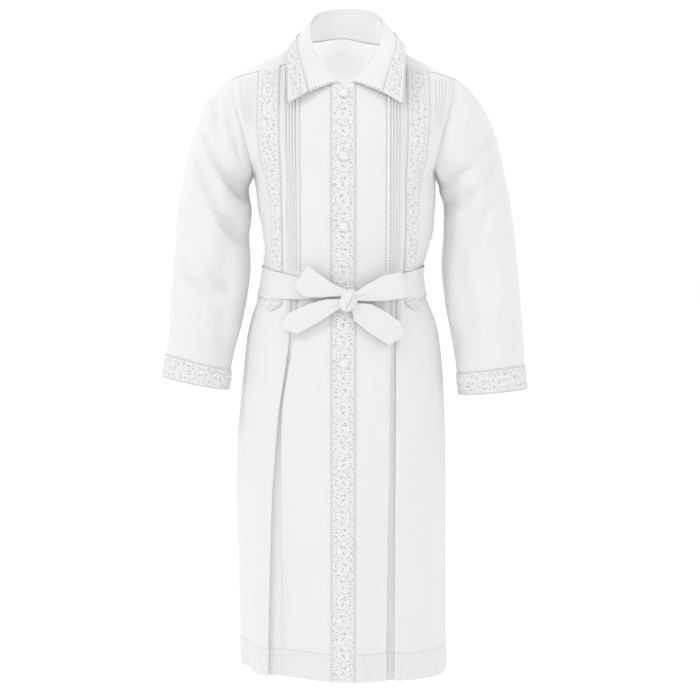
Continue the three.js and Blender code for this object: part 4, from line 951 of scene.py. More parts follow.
def yoke_column(k, side):
    if k == 0:
        return [p + SEAM_ACROSS * SEAM / 2 for p in yoke_seam(side)]
    x, y = YOKE_NECK[k]
    x = side * x + NECK_SHIFT
    neck = vec(x, y, height_at(x, y))
    if k == 1:
        end = vec(side * SHOULDER_X, 0.0, SHOULDER_Z)
    elif k < len(YOKE_ENDS):
        z = YOKE_ENDS[k]
        end = body_point(z, side, "back", distance_at(armhole_x(z), z, side, "back"))
    else:
        z = YOKE_BACK + SEAM / 2
        share = (len(YOKE_NECK) - 1 - k) / (len(YOKE_NECK) - 1 - len(YOKE_ENDS))
        end = body_point(z, side, "back", share * distance_at(armhole_x(z), z, side, "back"))
    column = [neck]
    for r in range(1, YOKE_ROWS - 1):
        px, py = lerp(neck[:2], end[:2], r / (YOKE_ROWS - 1))
        column.append(vec(px, py, height_at(px, py)))
    return column + [end]


count = len(YOKE_NECK)
yoke_columns = [yoke_column(k, -1) for k in range(count)] + [yoke_column(k, 1) for k in range(count - 2, -1, -1)]
yoke_grid = np.swapaxes(np.array(yoke_columns), 0, 1)
fine, u, v = refined(yoke_grid, 3.0, 3.4)
x, y = fine[..., 0], fine[..., 1]
lift = -0.7 * gauss(np.abs(x), 128, 16) * gauss(y, 10, 50) + 0.5 * gauss(np.abs(x), 165, 14) * gauss(y, 30, 40)
below = (0, 0, -300)
yoke = cloth("yoke_cloth", raised(fine, below, lift), u, v, cloth_white, away=below)
declared(yoke, "yoke", (0.44, 0.26))

# %% [markdown]
# ## Sleeves
# A set-in sleeve leaves the armhole outwards and turns down the arm. Its cap shows a bright roll of cloth,
# and long soft creases run from the armpit and the elbow round the arm.

# %% Sleeve rings and caps
SLEEVE_DROP, SLEEVE_TILT, ELBOW = {-1: -7.0, 1: 9.0}, {-1: 1.0, 1: 0.25}, -415.0
CAP_STEPS = (0, 0.14, 0.3, 0.48, 0.7, 1)
SLEEVE_FOLDS = """
    side at  drift width top  low  depth
    -1   72  -60   20    -170 -470 5
    -1   118 -30   17    -250 -560 6
    -1   230 40    22    -200 -520 5
    1    100 -62   20    -230 -540 5.5
    1    60  -30   18    -150 -420 4.5
    1    240 45    22    -200 -560 5
"""
SLEEVE_FOLDS = table(SLEEVE_FOLDS)


def fold_lift(side, turn, z):
    total = 0.0
    for fold in SLEEVE_FOLDS:
        if fold["side"] == side:
            way = share_of(z, fold["top"], fold["low"])
            away = (turn - (fold["at"] + fold["drift"] * (way - 0.5))) / fold["width"]
            total -= fold["depth"] * math.sin(math.pi * way) * math.exp(-away * away)
    return total


def sleeve_point(side, z, turn):
    name = "Right" if side < 0 else "Left"
    middle = lambda at: vec(side * (read(SLEEVE, "inner" + name, at) + read(SLEEVE, "outer" + name, at)) / 2,
                            read(SLEEVE, "y", at), at)
    axis = unit(middle(min(z + 15, SLEEVE[0]["z"])) - middle(z - 15))
    outward, forward = unit(vec(side, 0, 0) - axis * side * axis[0]), unit(vec(0, -1, 0) + axis * axis[1])
    width = (read(SLEEVE, "outer" + name, z) - read(SLEEVE, "inner" + name, z)) / 2
    angle, lift = math.radians(turn), fold_lift(side, turn, z)
    drop = SLEEVE_DROP[side] * share_of(z, ELBOW, SLEEVE[-1]["z"])
    tilt = SLEEVE_TILT[side] * read(SLEEVE, "tilt", z)
    return (middle(z) + outward * math.cos(angle) * (width + lift)
            + forward * math.sin(angle) * (read(SLEEVE, "depth", z) + lift)
            + vec(0, 0, math.cos(angle) * tilt - drop))


def cap_point(side, start, turn, share):
    end, angle = sleeve_point(side, SLEEVE[0]["z"], turn), math.radians(turn)
    under, about = (1 - math.cos(angle)) / 2, math.sin(angle)
    leave = unit(vec(side * lerp(0.9, 0.3, under), -0.35 * about, -lerp(0.44, 0.95, under)))
    reach = np.linalg.norm(start - end)
    first = start + leave * reach * lerp(0.19, 0.33, under)
    second = end + unit(vec(-side * 0.1, 0, 1)) * reach * lerp(0.48, 0.3, under)
    a, b = 1 - share, share
    point = start * a ** 3 + first * 3 * a * a * b + second * 3 * a * b * b + end * b ** 3
    out = unit(vec(side * math.cos(angle), -about, 0))
    return point + out * (fold_lift(side, turn, point[2]) * share if share < 1 else 0)


def armhole_loop(side):
    front = fronts[side][len(LOW_ROWS) - 1:, -1]
    behind = back_grid[len(LOW_ROWS):, 0 if side < 0 else -1]
    ends = [yoke_column(k, side)[-1] for k in range(1, len(YOKE_ENDS))]
    corners = [ends[0], *front[::-1], *behind, *ends[:0:-1]]
    loop = []
    for p, after in zip(corners, corners[1:] + corners[:1]):
        loop += [p, lerp(p, after, 0.5)] if np.linalg.norm(after - p) > 26 else [p]
    lowest = next(k for k, p in enumerate(loop) if p is corners[len(front)] or np.array_equal(p, front[0]))
    lengths = lengths_of(np.array(loop + loop[:1]))
    return loop, np.interp(lengths[:-1], lengths[[0, lowest, -1]], [0, 180, 360])


def sleeve_grid(side):
    loop, turns = armhole_loop(side)
    cap = [[cap_point(side, p, t, share) + (side * SEAM if share == 0 else 0, 0, 0)
            for p, t in zip(loop, turns)] for share in CAP_STEPS]
    arm = [[sleeve_point(side, row["z"], t) for t in turns] for row in SLEEVE[1:]]
    return np.array(cap + arm)


sleeves = {side: sleeve_grid(side) for side, _ in SIDES}
print("sleeve grid:", sleeves[1].shape)

# %% Creases of the sleeves, by place on the front and by turn round the arm
SLEEVE_CREASES = """
    side x   z    alongX alongZ length width depth
    -1   221 -130 -0.15  -1     45     6     -3.0
    -1   236 -135 -0.1   -1     42     7     2.8
    -1   207 -150 -0.2   -1     40     4     2.2
    -1   196 -200 -0.25  -1     30     4     1.8
    -1   213 -178 -0.25  -1     36     4     -1.3
    -1   252 -112 0.1    -1     34     8     -1.6
    -1   254 -190 -0.42  -1     46     8     3.4
    -1   222 -248 -0.8   -0.95  40     8     3.8
    -1   243 -232 -0.5   -1     48     8     -2.2
    -1   190 -280 -0.7   -0.7   24     12    4.5
    -1   266 -238 -0.3   -1     56     9     3.4
    -1   233 -318 -0.6   -1     50     9     4.4
    -1   200 -352 -0.6   -0.8   26     12    5.0
    -1   252 -300 -0.5   -1     56     10    -2.4
    -1   300 -412 -0.5   -1     44     9     3.2
    -1   262 -462 -0.9   -0.8   40     10    3.8
    -1   228 -458 -0.8   -0.7   24     15    5.0
    -1   262 -428 -0.7   -0.9   50     11    -2.2
    -1   222 -556 0.05   -1     52     12    3.0
    -1   285 -520 -0.3   -1     60     16    -1.6
    1    262 -200 -0.8   -0.9   40     8     2.8
    1    222 -245 -0.9   -0.6   36     8     3.6
    1    246 -222 -0.85  -0.8   44     8     -1.8
    1    274 -240 -0.3   -1     36     8     2.6
    1    235 -290 -0.85  -0.65  46     9     4.2
    1    258 -272 -0.7   -0.8   46     9     -2.2
    1    196 -300 -0.7   -0.7   22     10    3.4
    1    255 -345 -0.6   -0.9   60     12    2.8
    1    278 -330 -0.5   -1     52     11    -1.8
    1    216 -424 0.1    -1     70     16    3.2
    1    234 -538 0.05   -1     60     16    2.8
    1    292 -470 -0.2   -1     70     16    -1.6
"""
SLEEVE_CREASES = table(SLEEVE_CREASES)


def sleeve_relief(points, side):
    """Behind the arm the same creases lie a little lower and further out, and are wider."""
    arm = np.interp(-points[..., 2], [60, 272, 415, 649], [0, 3, -5, -23])
    front = 1 / (1 + np.exp((points[..., 1] - arm - 8) / 7))
    behind = creases(SLEEVE_CREASES, points, side, (9, -26), (1.1, 1.2))
    lift = creases(SLEEVE_CREASES, points, side) * front + 0.85 * behind * (1 - front)
    return 2.8 * lift * np.clip((points[..., 2] + 615) / 60, 0, 1)


for side, name in SIDES:
    fine, u, v = refined(sleeves[side], 3.3, 4.8, closed=True)
    inside = (side * 255.0, 0.0, -400.0)
    lift = sleeve_relief(fine, side) * np.clip(v / 36, 0, 1)[:, None]
    lift[:, -1] = lift[:, 0]
    fine = raised(fine, inside, lift, True)
    piece = cloth(f"sleeve_{name}_cloth", fine, u, v, cloth_white, away=inside, weld=True)
    declared(piece, "sleeve_" + name, (0.46, 0.62))

# %% [markdown]
# ## Collar
# A shirt collar: a stand that rises from the neckline, and a leaf that rolls over its top and lies down
# towards the shoulders, with points in front. The roll is soft, not pressed.

# %% The collar's stand and leaf
COLLAR_STEPS, COLLAR_CLEAR, CROWN_CLEAR, COLLAR_SHIFT = 28, 4.2, 2.6, 8.5
ROLL_INSIDE, ROLL_RISE, ROLL_REACH = 8.0, 3.0, 5.0


def rounded(points, count):
    """The same curve as the solid's: its tangents weigh each step by the root of its length."""
    extra = [2 * points[0] - points[1], *points, 2 * points[-1] - points[-2]]
    result = []
    for t in np.linspace(0, len(points) - 1, count):
        k = min(int(t), len(points) - 2)
        p0, p1, p2, p3 = extra[k:k + 4]
        d0, d1, d2 = (max(np.linalg.norm(b - a) ** 0.5, 1e-4) for a, b in ((p0, p1), (p1, p2), (p2, p3)))
        m1 = ((p1 - p0) / d0 - (p2 - p0) / (d0 + d1) + (p2 - p1) / d1) * d1
        m2 = ((p2 - p1) / d1 - (p3 - p1) / (d1 + d2) + (p3 - p2) / d2) * d1
        result.append(cubic(t - k, p1, p2, m1, m2))
    return np.array(result)


def collar_run(key):
    def half(side):
        return [vec(side * row[key + "X"] + COLLAR_SHIFT * lerp(0.45, 1, k / (len(COLLAR) - 1)),
                    row[key + "Y"], row[key + "Z"]) for k, row in enumerate(COLLAR)]

    return rounded(half(-1) + half(1)[-2::-1], COLLAR_STEPS + 1)


fold_line, edge_line = collar_run("fold"), collar_run("edge")


def matched(line, other):
    """The line, with its points at the same shares of its length as another line's."""
    lengths, shares = lengths_of(line), lengths_of(other)
    along = shares / shares[-1] * lengths[-1]
    return np.stack([np.interp(along, lengths, line[:, axis]) for axis in range(3)], axis=1)


neck_points = [*plains[-1][-1, :4], *[column[0] for column in yoke_columns[1:-1]], *plains[1][-1, :4][::-1]]
neck = matched(np.array(neck_points), fold_line)


def form_gap(p):
    def value(x, y, z):
        width, depth, power = quarter(z, side_of(x), "front" if y < 0 else "back")[:3]
        return (abs(x / width) ** power + abs(y / depth) ** power) ** (1 / power) - 1
    here, small = value(*p), 0.5
    slope = np.array([value(*(p + small * axis)) - here for axis in np.eye(3)]) / small
    return here / np.linalg.norm(slope), unit(slope)


def clear_of_body(point, clearance):
    for _ in range(4):
        if point[2] >= BODY[0]["z"] - 1:
            break
        gap, out = form_gap(point)
        if gap < clearance:
            point = point + out * (clearance - gap)
    return point


def stand_rows():
    base = neck + [unit(p * (-1, -1, 0)) for p in neck] + (0, 0, 1)
    rise = np.linalg.norm(base - fold_line, axis=1)
    top = lerp(base, fold_line, np.maximum(0.3, (rise - ROLL_INSIDE - SEAM) / rise)[:, None])
    return np.array([lerp(base, top, share) for share in (0, 0.34, 0.67, 1)])


def leaf_rows():
    sections = []
    for fold, edge, base in zip(fold_line, edge_line, neck):
        down = base - fold
        start = fold + unit(down) * min(ROLL_INSIDE, np.linalg.norm(down) * 0.5)
        crown = fold + unit(edge - fold) * ROLL_REACH + (0, 0, ROLL_RISE)
        outwards, crown = unit((edge - fold) * (1, 1, 0)), clear_of_body(crown, CROWN_CLEAR)
        section = [start, fold, crown]
        for share in (0.3, 0.5, 0.66, 0.83, 1):
            bulge = math.sin(math.pi * share) * 4
            point = lerp(crown, edge, share) + outwards * bulge * 0.6 + (0, 0, bulge)
            section.append(clear_of_body(point, COLLAR_CLEAR))
        sections.append(section)
    return np.swapaxes(np.array(sections), 0, 1)


fine, u, v = refined(stand_rows(), 2.6, 2.6)
stand = cloth("collar_stand_cloth", fine, u, v, cloth_white, wall=1.2, away=(5, 0, -40))
declared(stand, "collar_stand", (0.40, 0.045))
leaf = leaf_rows()
fine, u, v = refined(leaf, 2.2, 1.8)
ripple = 0.5 * np.sin(np.arange(1, len(u) + 1) * 0.09 + 0.6) * (v / v[-1])[:, None]
fine = fine + looking(fine, -4, UP) * (ripple * np.clip(-fine[..., 1] / 60, 0, 1))[..., None]
holes = [(0, at, 12.0, EVER, 4.2) for at in (EDGE_ROW, u[-1] - EDGE_ROW)]
leaf_white = woven("collar_weave", rows=holes, dark=0.25)
leaf_cloth = cloth("collar_leaf_cloth", fine, u, v, leaf_white, wall=1.2, faces=slice(-200, None),
                   way=lambda p: UP)
declared(leaf_cloth, "collar_leaf", (0.58, 0.085))

# %% [markdown]
# ## Sash
# The sash is a wide band of the same cloth. It is drawn together behind the bow, so it shows long creases
# that run to the knot, and a stitched fold along both edges.

# %% Wrap the sash round the waist
SASH_STEPS, SASH_CLEAR, SASH_WALL = 96, 2.2, 1.1
KNOT = dict(x=10.0, y=-122.0, z=-482.0, width=13.5, depth=13.3, height=20.0, slant=0.22)


def sash_edges(turn, x):
    front = max(0.0, math.cos(turn))
    drawn = math.exp(-((x / 52.0) ** 2)) * (front > 0)
    return lerp(-421, -445, front ** 1.5) - 20 * drawn, lerp(-478, -482, front) + 6 * drawn


def sash_point(turn, share, lift):
    side, half = side_of(math.sin(turn)), "front" if math.cos(turn) > 0 else "back"
    away = min(turn, 2 * math.pi - turn) if half == "front" else abs(math.pi - turn)
    around = lambda z: away / (math.pi / 2) * quarter(z, side, half)[5][-1]
    top, bottom = sash_edges(turn, around(WAIST_MID))
    z = lerp(bottom, top, share)
    return body_point(z, side, half, around(z), lift)


sash_grid = np.array([[sash_point(2 * math.pi * k / SASH_STEPS, share, SASH_CLEAR + SASH_WALL)
                       for k in range(SASH_STEPS)] for share in (0, 0.25, 0.5, 0.75, 1)])
fine, u, v = refined(sash_grid, 2.4, 1.5, closed=True)
x, share, waist = fine[..., 0], (v / v[-1])[:, None], (0, 0, WAIST_MID)
front, reach = 1 / (1 + np.exp(fine[..., 1] / 12)), gauss(x, KNOT["x"], 75)
rays = sum(depth * gauss(share, middle + tilt * (x - KNOT["x"]) / 100, width) for middle, tilt, width, depth in (
    (0.30, -0.22, 0.07, 1.6), (0.46, -0.06, 0.05, -1.2), (0.60, 0.10, 0.06, 1.7), (0.76, 0.24, 0.05, -1.0)))
loose = 0.5 * np.sin(x / 19 + 2 * share) + 0.8 * gauss(share, 0.55 + 0.1 * np.sin(x / 40), 0.12)
hemmed = -0.35 * (gauss(share, 0.09, 0.02) + gauss(share, 0.91, 0.02))
lift = rays * reach * front + loose * (1 - reach) * 0.6 + hemmed
lift[:, -1] = lift[:, 0]
sash = cloth("sash_wrap", raised(fine, waist, lift, True), u, v, sash_white, away=waist, weld=True)
declared(sash, "sash", (0.86, 0.055))

# %% [markdown]
# ## Bow
# The knot is a short bundle of wound cloth. Two loops leave it sideways, filled out and creased towards the
# knot, and two tails hang below and end in points. Each is one strip, laid from the knot outwards.

# %% Ribbons of the bow, from the same points as the solids
ACROSS, KNOT_CLEAR, LOOP_STEPS = (0, 0.33, 0.67, 1), 0.1, 200


def knot_side(side, y, z):
    """Where a strip leaves the knot's own side."""
    rest = 1 - ((y - KNOT["y"]) / KNOT["depth"]) ** 2 - ((z - KNOT["z"]) / KNOT["height"]) ** 2
    half = KNOT["width"] * math.sqrt(max(rest, 0.4)) + KNOT_CLEAR
    return KNOT["x"] + KNOT["slant"] * (z - KNOT["z"]) + side * half


def ribbon_rows(side, rows):
    grid = []
    for low, high, crown, at_knot in rows:
        line = []
        for share in ACROSS:
            point = lerp(vec(*low), vec(*high), share)
            point[1] -= math.sin(math.pi * share) * crown
            if at_knot:
                point[0] = knot_side(side, point[1], point[2])
            line.append(point)
        grid.append(line)
    return np.array(grid)


def loop_rows(side, lower, upper):
    edges = [rounded([vec(x, 0, z) for x, z in line], LOOP_STEPS + 1) for line in (lower, upper)]

    def row(share, y, crown):
        low, high = (line[round(share * LOOP_STEPS)] + (0, y, 0) for line in edges)
        return low, high, crown, share == 0

    out = [row(s, lerp(-124, -119, s), 2.5) for s in (0, 0.2, 0.45, 0.7, 0.93)]
    home = [row(s, lerp(-115, -112.5, s), 0) for s in (0.93, 0.7, 0.4, 0.12)]
    return ribbon_rows(side, out + [row(1, -115.75, 0)] + home)


def crisp(grid):
    """Straight pieces between the rows, so that a cut end keeps its corners."""
    rows = [grid[0]]
    for a, b in zip(grid, grid[1:]):
        rows += [lerp(a, b, share) for share in (0.06, 0.35, 0.65, 0.94, 1)]
    return np.array(rows)


def ribbon_cloth(node, grid, folds, size, swell=0.0, straight=False):
    """A strip of the bow, creased towards the knot. The half next to the knot faces forward."""
    fine, u, v = refined(crisp(grid) if straight else grid, 1.3, 1.3)
    share, way = (u / u[-1])[None, :], (v / v[-1])[:, None]
    near = 0.06 + gauss(v[:, None], 0, 30)
    lift = sum(depth * gauss(share, middle + tilt * way, width * (0.6 + way)) * near
               for middle, tilt, width, depth in folds)
    hemmed = -0.3 * (gauss(share, 0.07, 0.018) + gauss(share, 0.93, 0.018))
    full = swell * np.sin(np.pi * np.clip(way * 2, 0, 1)) * np.sin(np.pi * share)
    start = np.clip(v / 6, 0, 1)[:, None]
    normal = looking(fine, slice(len(v) // 2), FORWARD)
    fine = fine + normal * ((lift + hemmed + full) * start)[..., None]
    near_half = slice((len(u) - 1) * (len(v) - 1) // 2)
    piece = cloth(node + "_cloth", fine, u, v, sash_white, wall=0.8, faces=near_half, way=lambda p: FORWARD)
    declared(piece, node, size)


ribbon_cloth("bow_loop_right", loop_rows(
    -1, [(-4, -474), (-30, -475), (-62, -477), (-91, -459)],
    [(-2, -462), (-22, -449), (-42, -435), (-65, -419)]),
    ((0.28, 0.0, 0.06, -1.6), (0.5, 0.05, 0.07, 1.4), (0.72, 0.0, 0.06, -1.7), (0.15, 0.05, 0.05, 0.8)),
    (0.05, 0.185), swell=1.4)
ribbon_cloth("bow_loop_left", loop_rows(
    1, [(24, -482), (52, -483), (90, -481), (119, -474)], [(17, -468), (44, -453), (72, -438), (106, -430)]),
    ((0.24, 0.04, 0.06, 1.0), (0.42, 0.02, 0.045, -2.0), (0.6, 0.1, 0.07, 1.3), (0.82, 0.0, 0.05, -1.0)),
    (0.05, 0.21), swell=1.4)
ribbon_cloth("bow_tail_right", ribbon_rows(-1, [
    ((-6, -121, -494), (-2, -121, -479), 1.5, True), ((-25, -121, -509), (-32, -121, -480), 1.5, False),
    ((-50, -119, -525), (-62, -118, -488), 1.5, False), ((-83, -115, -543), (-102, -111, -507), 1.5, False),
    ((-113, -110, -536), (-116, -110, -531), 1.5, False)]),
    ((0.3, 0.1, 0.07, -1.2), (0.55, 0.0, 0.07, 1.2), (0.8, -0.1, 0.06, -1.0)), (0.048, 0.13),
    straight=True)
ribbon_cloth("bow_tail_left", ribbon_rows(1, [
    ((4, -121, -497), (24, -121, -486), 1.5, True), ((19, -121, -518), (52, -121, -489), 1.5, False),
    ((50, -120, -543), (78, -118, -503), 1.5, False), ((84, -117, -564), (105, -113, -523), 1.5, False),
    ((108, -111, -550), (112, -111, -546), 1.5, False)]),
    ((0.3, 0.1, 0.07, 1.2), (0.5, 0.05, 0.07, -1.2), (0.78, -0.1, 0.06, 0.9)), (0.048, 0.14),
    straight=True)

# %% The knot: a ball with a few flat sides, drawn out, wound and creased
knot = round_ball("bow_knot_cloth", 96, 64, 1.0, 80, 40)
ball = np.empty(len(knot.data.vertices) * 3)
knot.data.vertices.foreach_get("co", ball)
ball = ball.reshape(-1, 3)
for facet, reach in (((-0.60, -0.79, 0.12), 0.72), ((0.66, -0.70, 0.28), 0.70), ((0.08, -0.90, -0.43), 0.82),
                     ((0.22, -0.72, 0.66), 0.80), ((-0.35, -0.70, -0.62), 0.84)):
    past = np.clip(ball @ np.array(facet) - reach, 0, None)
    ball -= 0.9 * past[:, None] * np.array(facet)
bx, by, bz = ball.T
turn = np.arctan2(bx, -by)
wrap = -0.24 * gauss(turn - 0.75 * bz, 0.30, 0.10) - 0.14 * gauss(turn + 0.7 * bz, -0.55, 0.10)
wrap = (wrap + 0.08 * gauss(turn - 0.75 * bz, 0.0, 0.18)) * (1 - np.clip(bz, -1, 1) ** 4)
height = KNOT["z"] + bz * KNOT["height"] * 1.03
ball = np.stack([KNOT["x"] + KNOT["slant"] * (height - KNOT["z"]) + bx * KNOT["width"] * (1 + wrap) * 1.2,
                 KNOT["y"] + by * KNOT["depth"] * (1 + wrap) * 1.12, height], axis=1)
knot.data.vertices.foreach_set("co", (ball * MM).ravel())
knot.data.update()
finished(knot, sash_white)
standing(knot, "bow_knot")
print("bow:", len(knot.data.polygons), "faces in the knot")

# %% [markdown]
# ## Embroidered bands
# The placket, the chest bands, the cuffs and the edge of the collar carry one scroll of satin stitch: a stem
# that winds along the band, a flower in each bend, leaves, curls and small knots. Each motif is made once,
# and its copies are joined into one mesh per band and laid on the band's own points, moved out.

# %% A laid band, on which things are placed in millimetres
class Band:
    """Rows run along the band and columns across it. A place is across its middle, along it, and out."""

    def __init__(self, points, middle, closed=False):
        self.points, self.closed = points, closed
        self.normal = out_of(points, middle)
        self.along = running(points, 0)
        steps = np.linalg.norm(np.diff(points, axis=1), axis=2)
        self.share = summed(steps.mean(axis=0)) / summed(steps.mean(axis=0))[-1]
        self.width, self.length = steps.sum(axis=1), self.along[-1]

    def laid(self, across, along, out):
        along = np.mod(along, self.length) if self.closed else np.clip(along, 0, self.length)
        row = np.interp(along, self.along, np.arange(len(self.along)))
        share = np.clip(0.5 + across / np.interp(along, self.along, self.width), 0.02, 0.98)
        column = np.interp(share, self.share, np.arange(len(self.share)))
        i, j = (np.minimum(k.astype(int), size - 2) for k, size in zip((row, column), self.points.shape))
        f, g = (row - i)[..., None], (column - j)[..., None]

        def mix(grid):
            return (grid[i, j] * (1 - f) * (1 - g) + grid[i + 1, j] * f * (1 - g)
                    + grid[i, j + 1] * (1 - f) * g + grid[i + 1, j + 1] * f * g)
        normal = mix(self.normal)
        return mix(self.points) + normal * (out / np.linalg.norm(normal, axis=-1))[..., None]


# %% Motifs: each is a small grid, pulled into a leaf, a petal, a curl, a knot or a dark dash of painted shadow
def grid_faces(rows, columns):
    r, c = np.meshgrid(np.arange(rows - 1), np.arange(columns - 1), indexing="ij")
    first = (r * columns + c).ravel()
    return np.stack([first, first + 1, first + columns + 1, first + columns], axis=1)


def strip(line, sideways, half, height=1.0):
    """Three rows of points along a line: its two edges and its crest."""
    rows = [np.concatenate([line + sideways * (s * half), np.full((len(line), 1), height * (1 - s * s))], axis=1)
            for s in (-1, 0, 1)]
    return np.swapaxes(np.array(rows), 0, 1).reshape(-1, 3), grid_faces(len(line), 3)


def leaf_motif(rows=7, columns=5, blunt=0.8, groove=0.3, bend=0.12):
    t, s = np.meshgrid(np.linspace(0, 1, rows), np.linspace(-1, 1, columns), indexing="ij")
    wide = np.sin(np.pi * t ** blunt) ** 0.75 + 0.02
    x = s * wide * 0.5 + bend * np.sin(np.pi * t)
    z = (1 - s ** 2) * np.sin(np.pi * t) ** 0.5 * (1 - groove * np.exp(-(s / 0.3) ** 2))
    return np.stack([x, t, z], axis=2).reshape(-1, 3), grid_faces(rows, columns)


def curl_motif(rows=13, turns=1.15):
    t = np.linspace(0, 1, rows)
    angle, radius = 2 * np.pi * turns * t, 0.5 * (1 - 0.72 * t)
    out = np.stack([np.cos(angle), np.sin(angle)], axis=1)
    wide = 0.1 * np.sin(np.pi * np.clip(t, 0.06, 0.94)) ** 0.4
    return strip(out * radius[:, None], out, wide[:, None])


def knot_motif(sides=8):
    turn = np.linspace(0, 2 * np.pi, sides, endpoint=False)
    rings = [np.stack([r * np.cos(turn), r * np.sin(turn), np.full(sides, h)], axis=1)
             for r, h in ((0.5, 0.0), (0.42, 0.7), (0.18, 1.0))]
    k = np.arange(sides)
    faces = [np.stack([k + o, (k + 1) % sides + o, (k + 1) % sides + o + sides, k + o + sides], axis=1)
             for o in (0, sides)]
    return np.concatenate(rings), np.concatenate(faces)


MOTIFS = {"leaf": leaf_motif(), "petal": leaf_motif(6, 5, 1.25, 0.15, 0.0), "curl": curl_motif(),
          "knot": knot_motif(), "slit": leaf_motif(4, 3, 1.0, 0.0, 0.0)}
print("motif faces:", {name: len(motif[1]) for name, motif in MOTIFS.items()})

# %% One repeat of the scroll, placed in millimetres on a band 44 wide and 58 long
# The flat dashes 0.05 high in this table are dark sheets of painted shadow between the stitches.
HALF_REPEAT = """
    motif across along turn long wide high
    petal -8.5   15.0  8    6.6  4.4  1.1
    petal -8.5   15.0  68   6.4  4.2  1.0
    petal -8.5   15.0  128  6.6  4.4  1.1
    petal -8.5   15.0  188  6.2  4.3  1.0
    petal -8.5   15.0  248  6.6  4.4  1.1
    petal -8.5   15.0  308  6.4  4.2  1.0
    knot  -8.5   15.0  0    2.9  2.9  1.7
    leaf  2.2    2.6   75   8.0  3.5  1.0
    leaf  5.0    6.0   58   8.6  3.6  0.9
    leaf  7.2    10.6  66   9.0  3.8  1.0
    leaf  7.9    15.0  40   8.4  3.6  1.0
    leaf  7.2    19.4  78   7.6  3.4  0.9
    leaf  5.6    23.0  48   8.0  3.4  1.0
    leaf  3.0    5.4   -35  6.0  2.7  0.9
    leaf  5.6    10.0  -48  5.6  2.6  0.8
    leaf  6.4    17.6  -58  6.0  2.7  0.8
    leaf  4.2    24.0  -70  7.4  3.2  0.9
    leaf  2.2    27.2  -30  6.0  2.7  0.8
    leaf  -14.5  1.6   -30  6.6  2.9  0.8
    leaf  -17.6  11.0  8    6.4  2.8  0.8
    leaf  -16.6  20.4  -14  6.4  2.8  0.8
    leaf  -11.0  24.0  -62  6.4  2.8  0.8
    leaf  -6.0   3.4   150  5.4  2.5  0.8
    leaf  16.4   3.6   6    6.4  2.8  0.8
    leaf  17.0   12.4  -10  5.8  2.6  0.8
    leaf  16.8   22.0  6    6.0  2.6  0.8
    curl  -10.8  3.2   20   6.2  6.2  0.8
    curl  13.6   -1.2  140  5.4  5.4  0.8
    curl  -4.6   23.4  250  4.8  4.8  0.8
    knot  18.0   9.6   0    1.9  1.9  1.0
    knot  -17.8  8.6   0    1.9  1.9  1.0
    knot  1.4    9.6   0    1.7  1.7  0.9
    knot  2.4    15.2  0    1.7  1.7  0.9
    slit  -13.6  8.0   -34  4.6  1.4  0.05
    slit  -2.6   19.4  -30  4.6  1.4  0.05
    slit  14.6   6.4   8    4.4  1.3  0.05
    slit  10.8   22.0  62   4.6  1.4  0.05
    slit  -13.4  21.0  -58  4.6  1.4  0.05
    slit  -19.0  4.6   4    3.6  1.2  0.05
"""
HALF_REPEAT, REPEAT, MOTIF_SCALE, SCROLL_SWING = table(HALF_REPEAT), 64.0, 1.08, 0.19


def jitter(k, seed, size):
    """A small shift that looks accidental and is the same on every run."""
    return size * math.sin(12.9898 * k + 78.233 * seed + 4.1) * math.cos(3.7 * k + seed)


def scroll_places(first, step, count, width, seed):
    """The scroll's motifs along a band, with each one a little off its place, as stitches are."""
    size, tall, places = width / BAND_WIDE, step / REPEAT, {name: [] for name in MOTIFS}
    for k in range(2 * count):
        side = 1 if k % 2 else -1
        for m, row in enumerate(HALF_REPEAT):
            n = 41 * k + m
            long, wide = (row[key] * (MOTIF_SCALE + jitter(n, seed + more, 0.1)) * min(size, tall) ** 0.6
                          for key, more in (("long", 3), ("wide", 4)))
            places[row["motif"]].append((
                side * (row["across"] + jitter(n, seed, 0.7)) * size,
                first + k * step / 2 + (row["along"] + jitter(n, seed + 1, 0.7)) * tall,
                math.radians(side * (-row["turn"] + jitter(n, seed + 2, 12))), long, wide, row["high"]))
    # A longer dark dash lies beside most leaves and every other petal: painted shadow under its edge.
    for n, (across, along, turn, long, wide, high) in enumerate(places["leaf"] + places["petal"][::2]):
        if n % 7 != 3:
            aside = (0.62 if n % 2 else -0.62) * wide
            places["slit"].append((across + aside * math.cos(turn) - long * 0.12 * math.sin(turn),
                                   along + aside * math.sin(turn) + long * 0.12 * math.cos(turn),
                                   turn, long * 1.25, 1.3, 0.12))
    return places


def placed_motifs(name, places):
    """Copies of one motif at its places: points as across, along, out, and the joined faces."""
    points, faces = MOTIFS[name]
    across, along, turn, long, wide, high = np.array(places).T[..., None]
    x, y = points[:, 0] * wide, points[:, 1] * long
    where = np.stack([across + x * np.cos(turn) - y * np.sin(turn), along + x * np.sin(turn) + y * np.cos(turn),
                      points[:, 2] * high], axis=2)
    shift = (np.arange(len(where)) * len(points))[:, None, None]
    return where.reshape(-1, 3), (faces[None] + shift).reshape(-1, 4)


def cord_on(line, half, height):
    """A raised cord along a line of across and along, as three rows of points."""
    step = np.gradient(line, axis=0)
    sideways = np.stack([-step[:, 1], step[:, 0]], axis=1) / np.maximum(np.hypot(*step.T), 1e-6)[:, None]
    return strip(line, sideways, half, height)


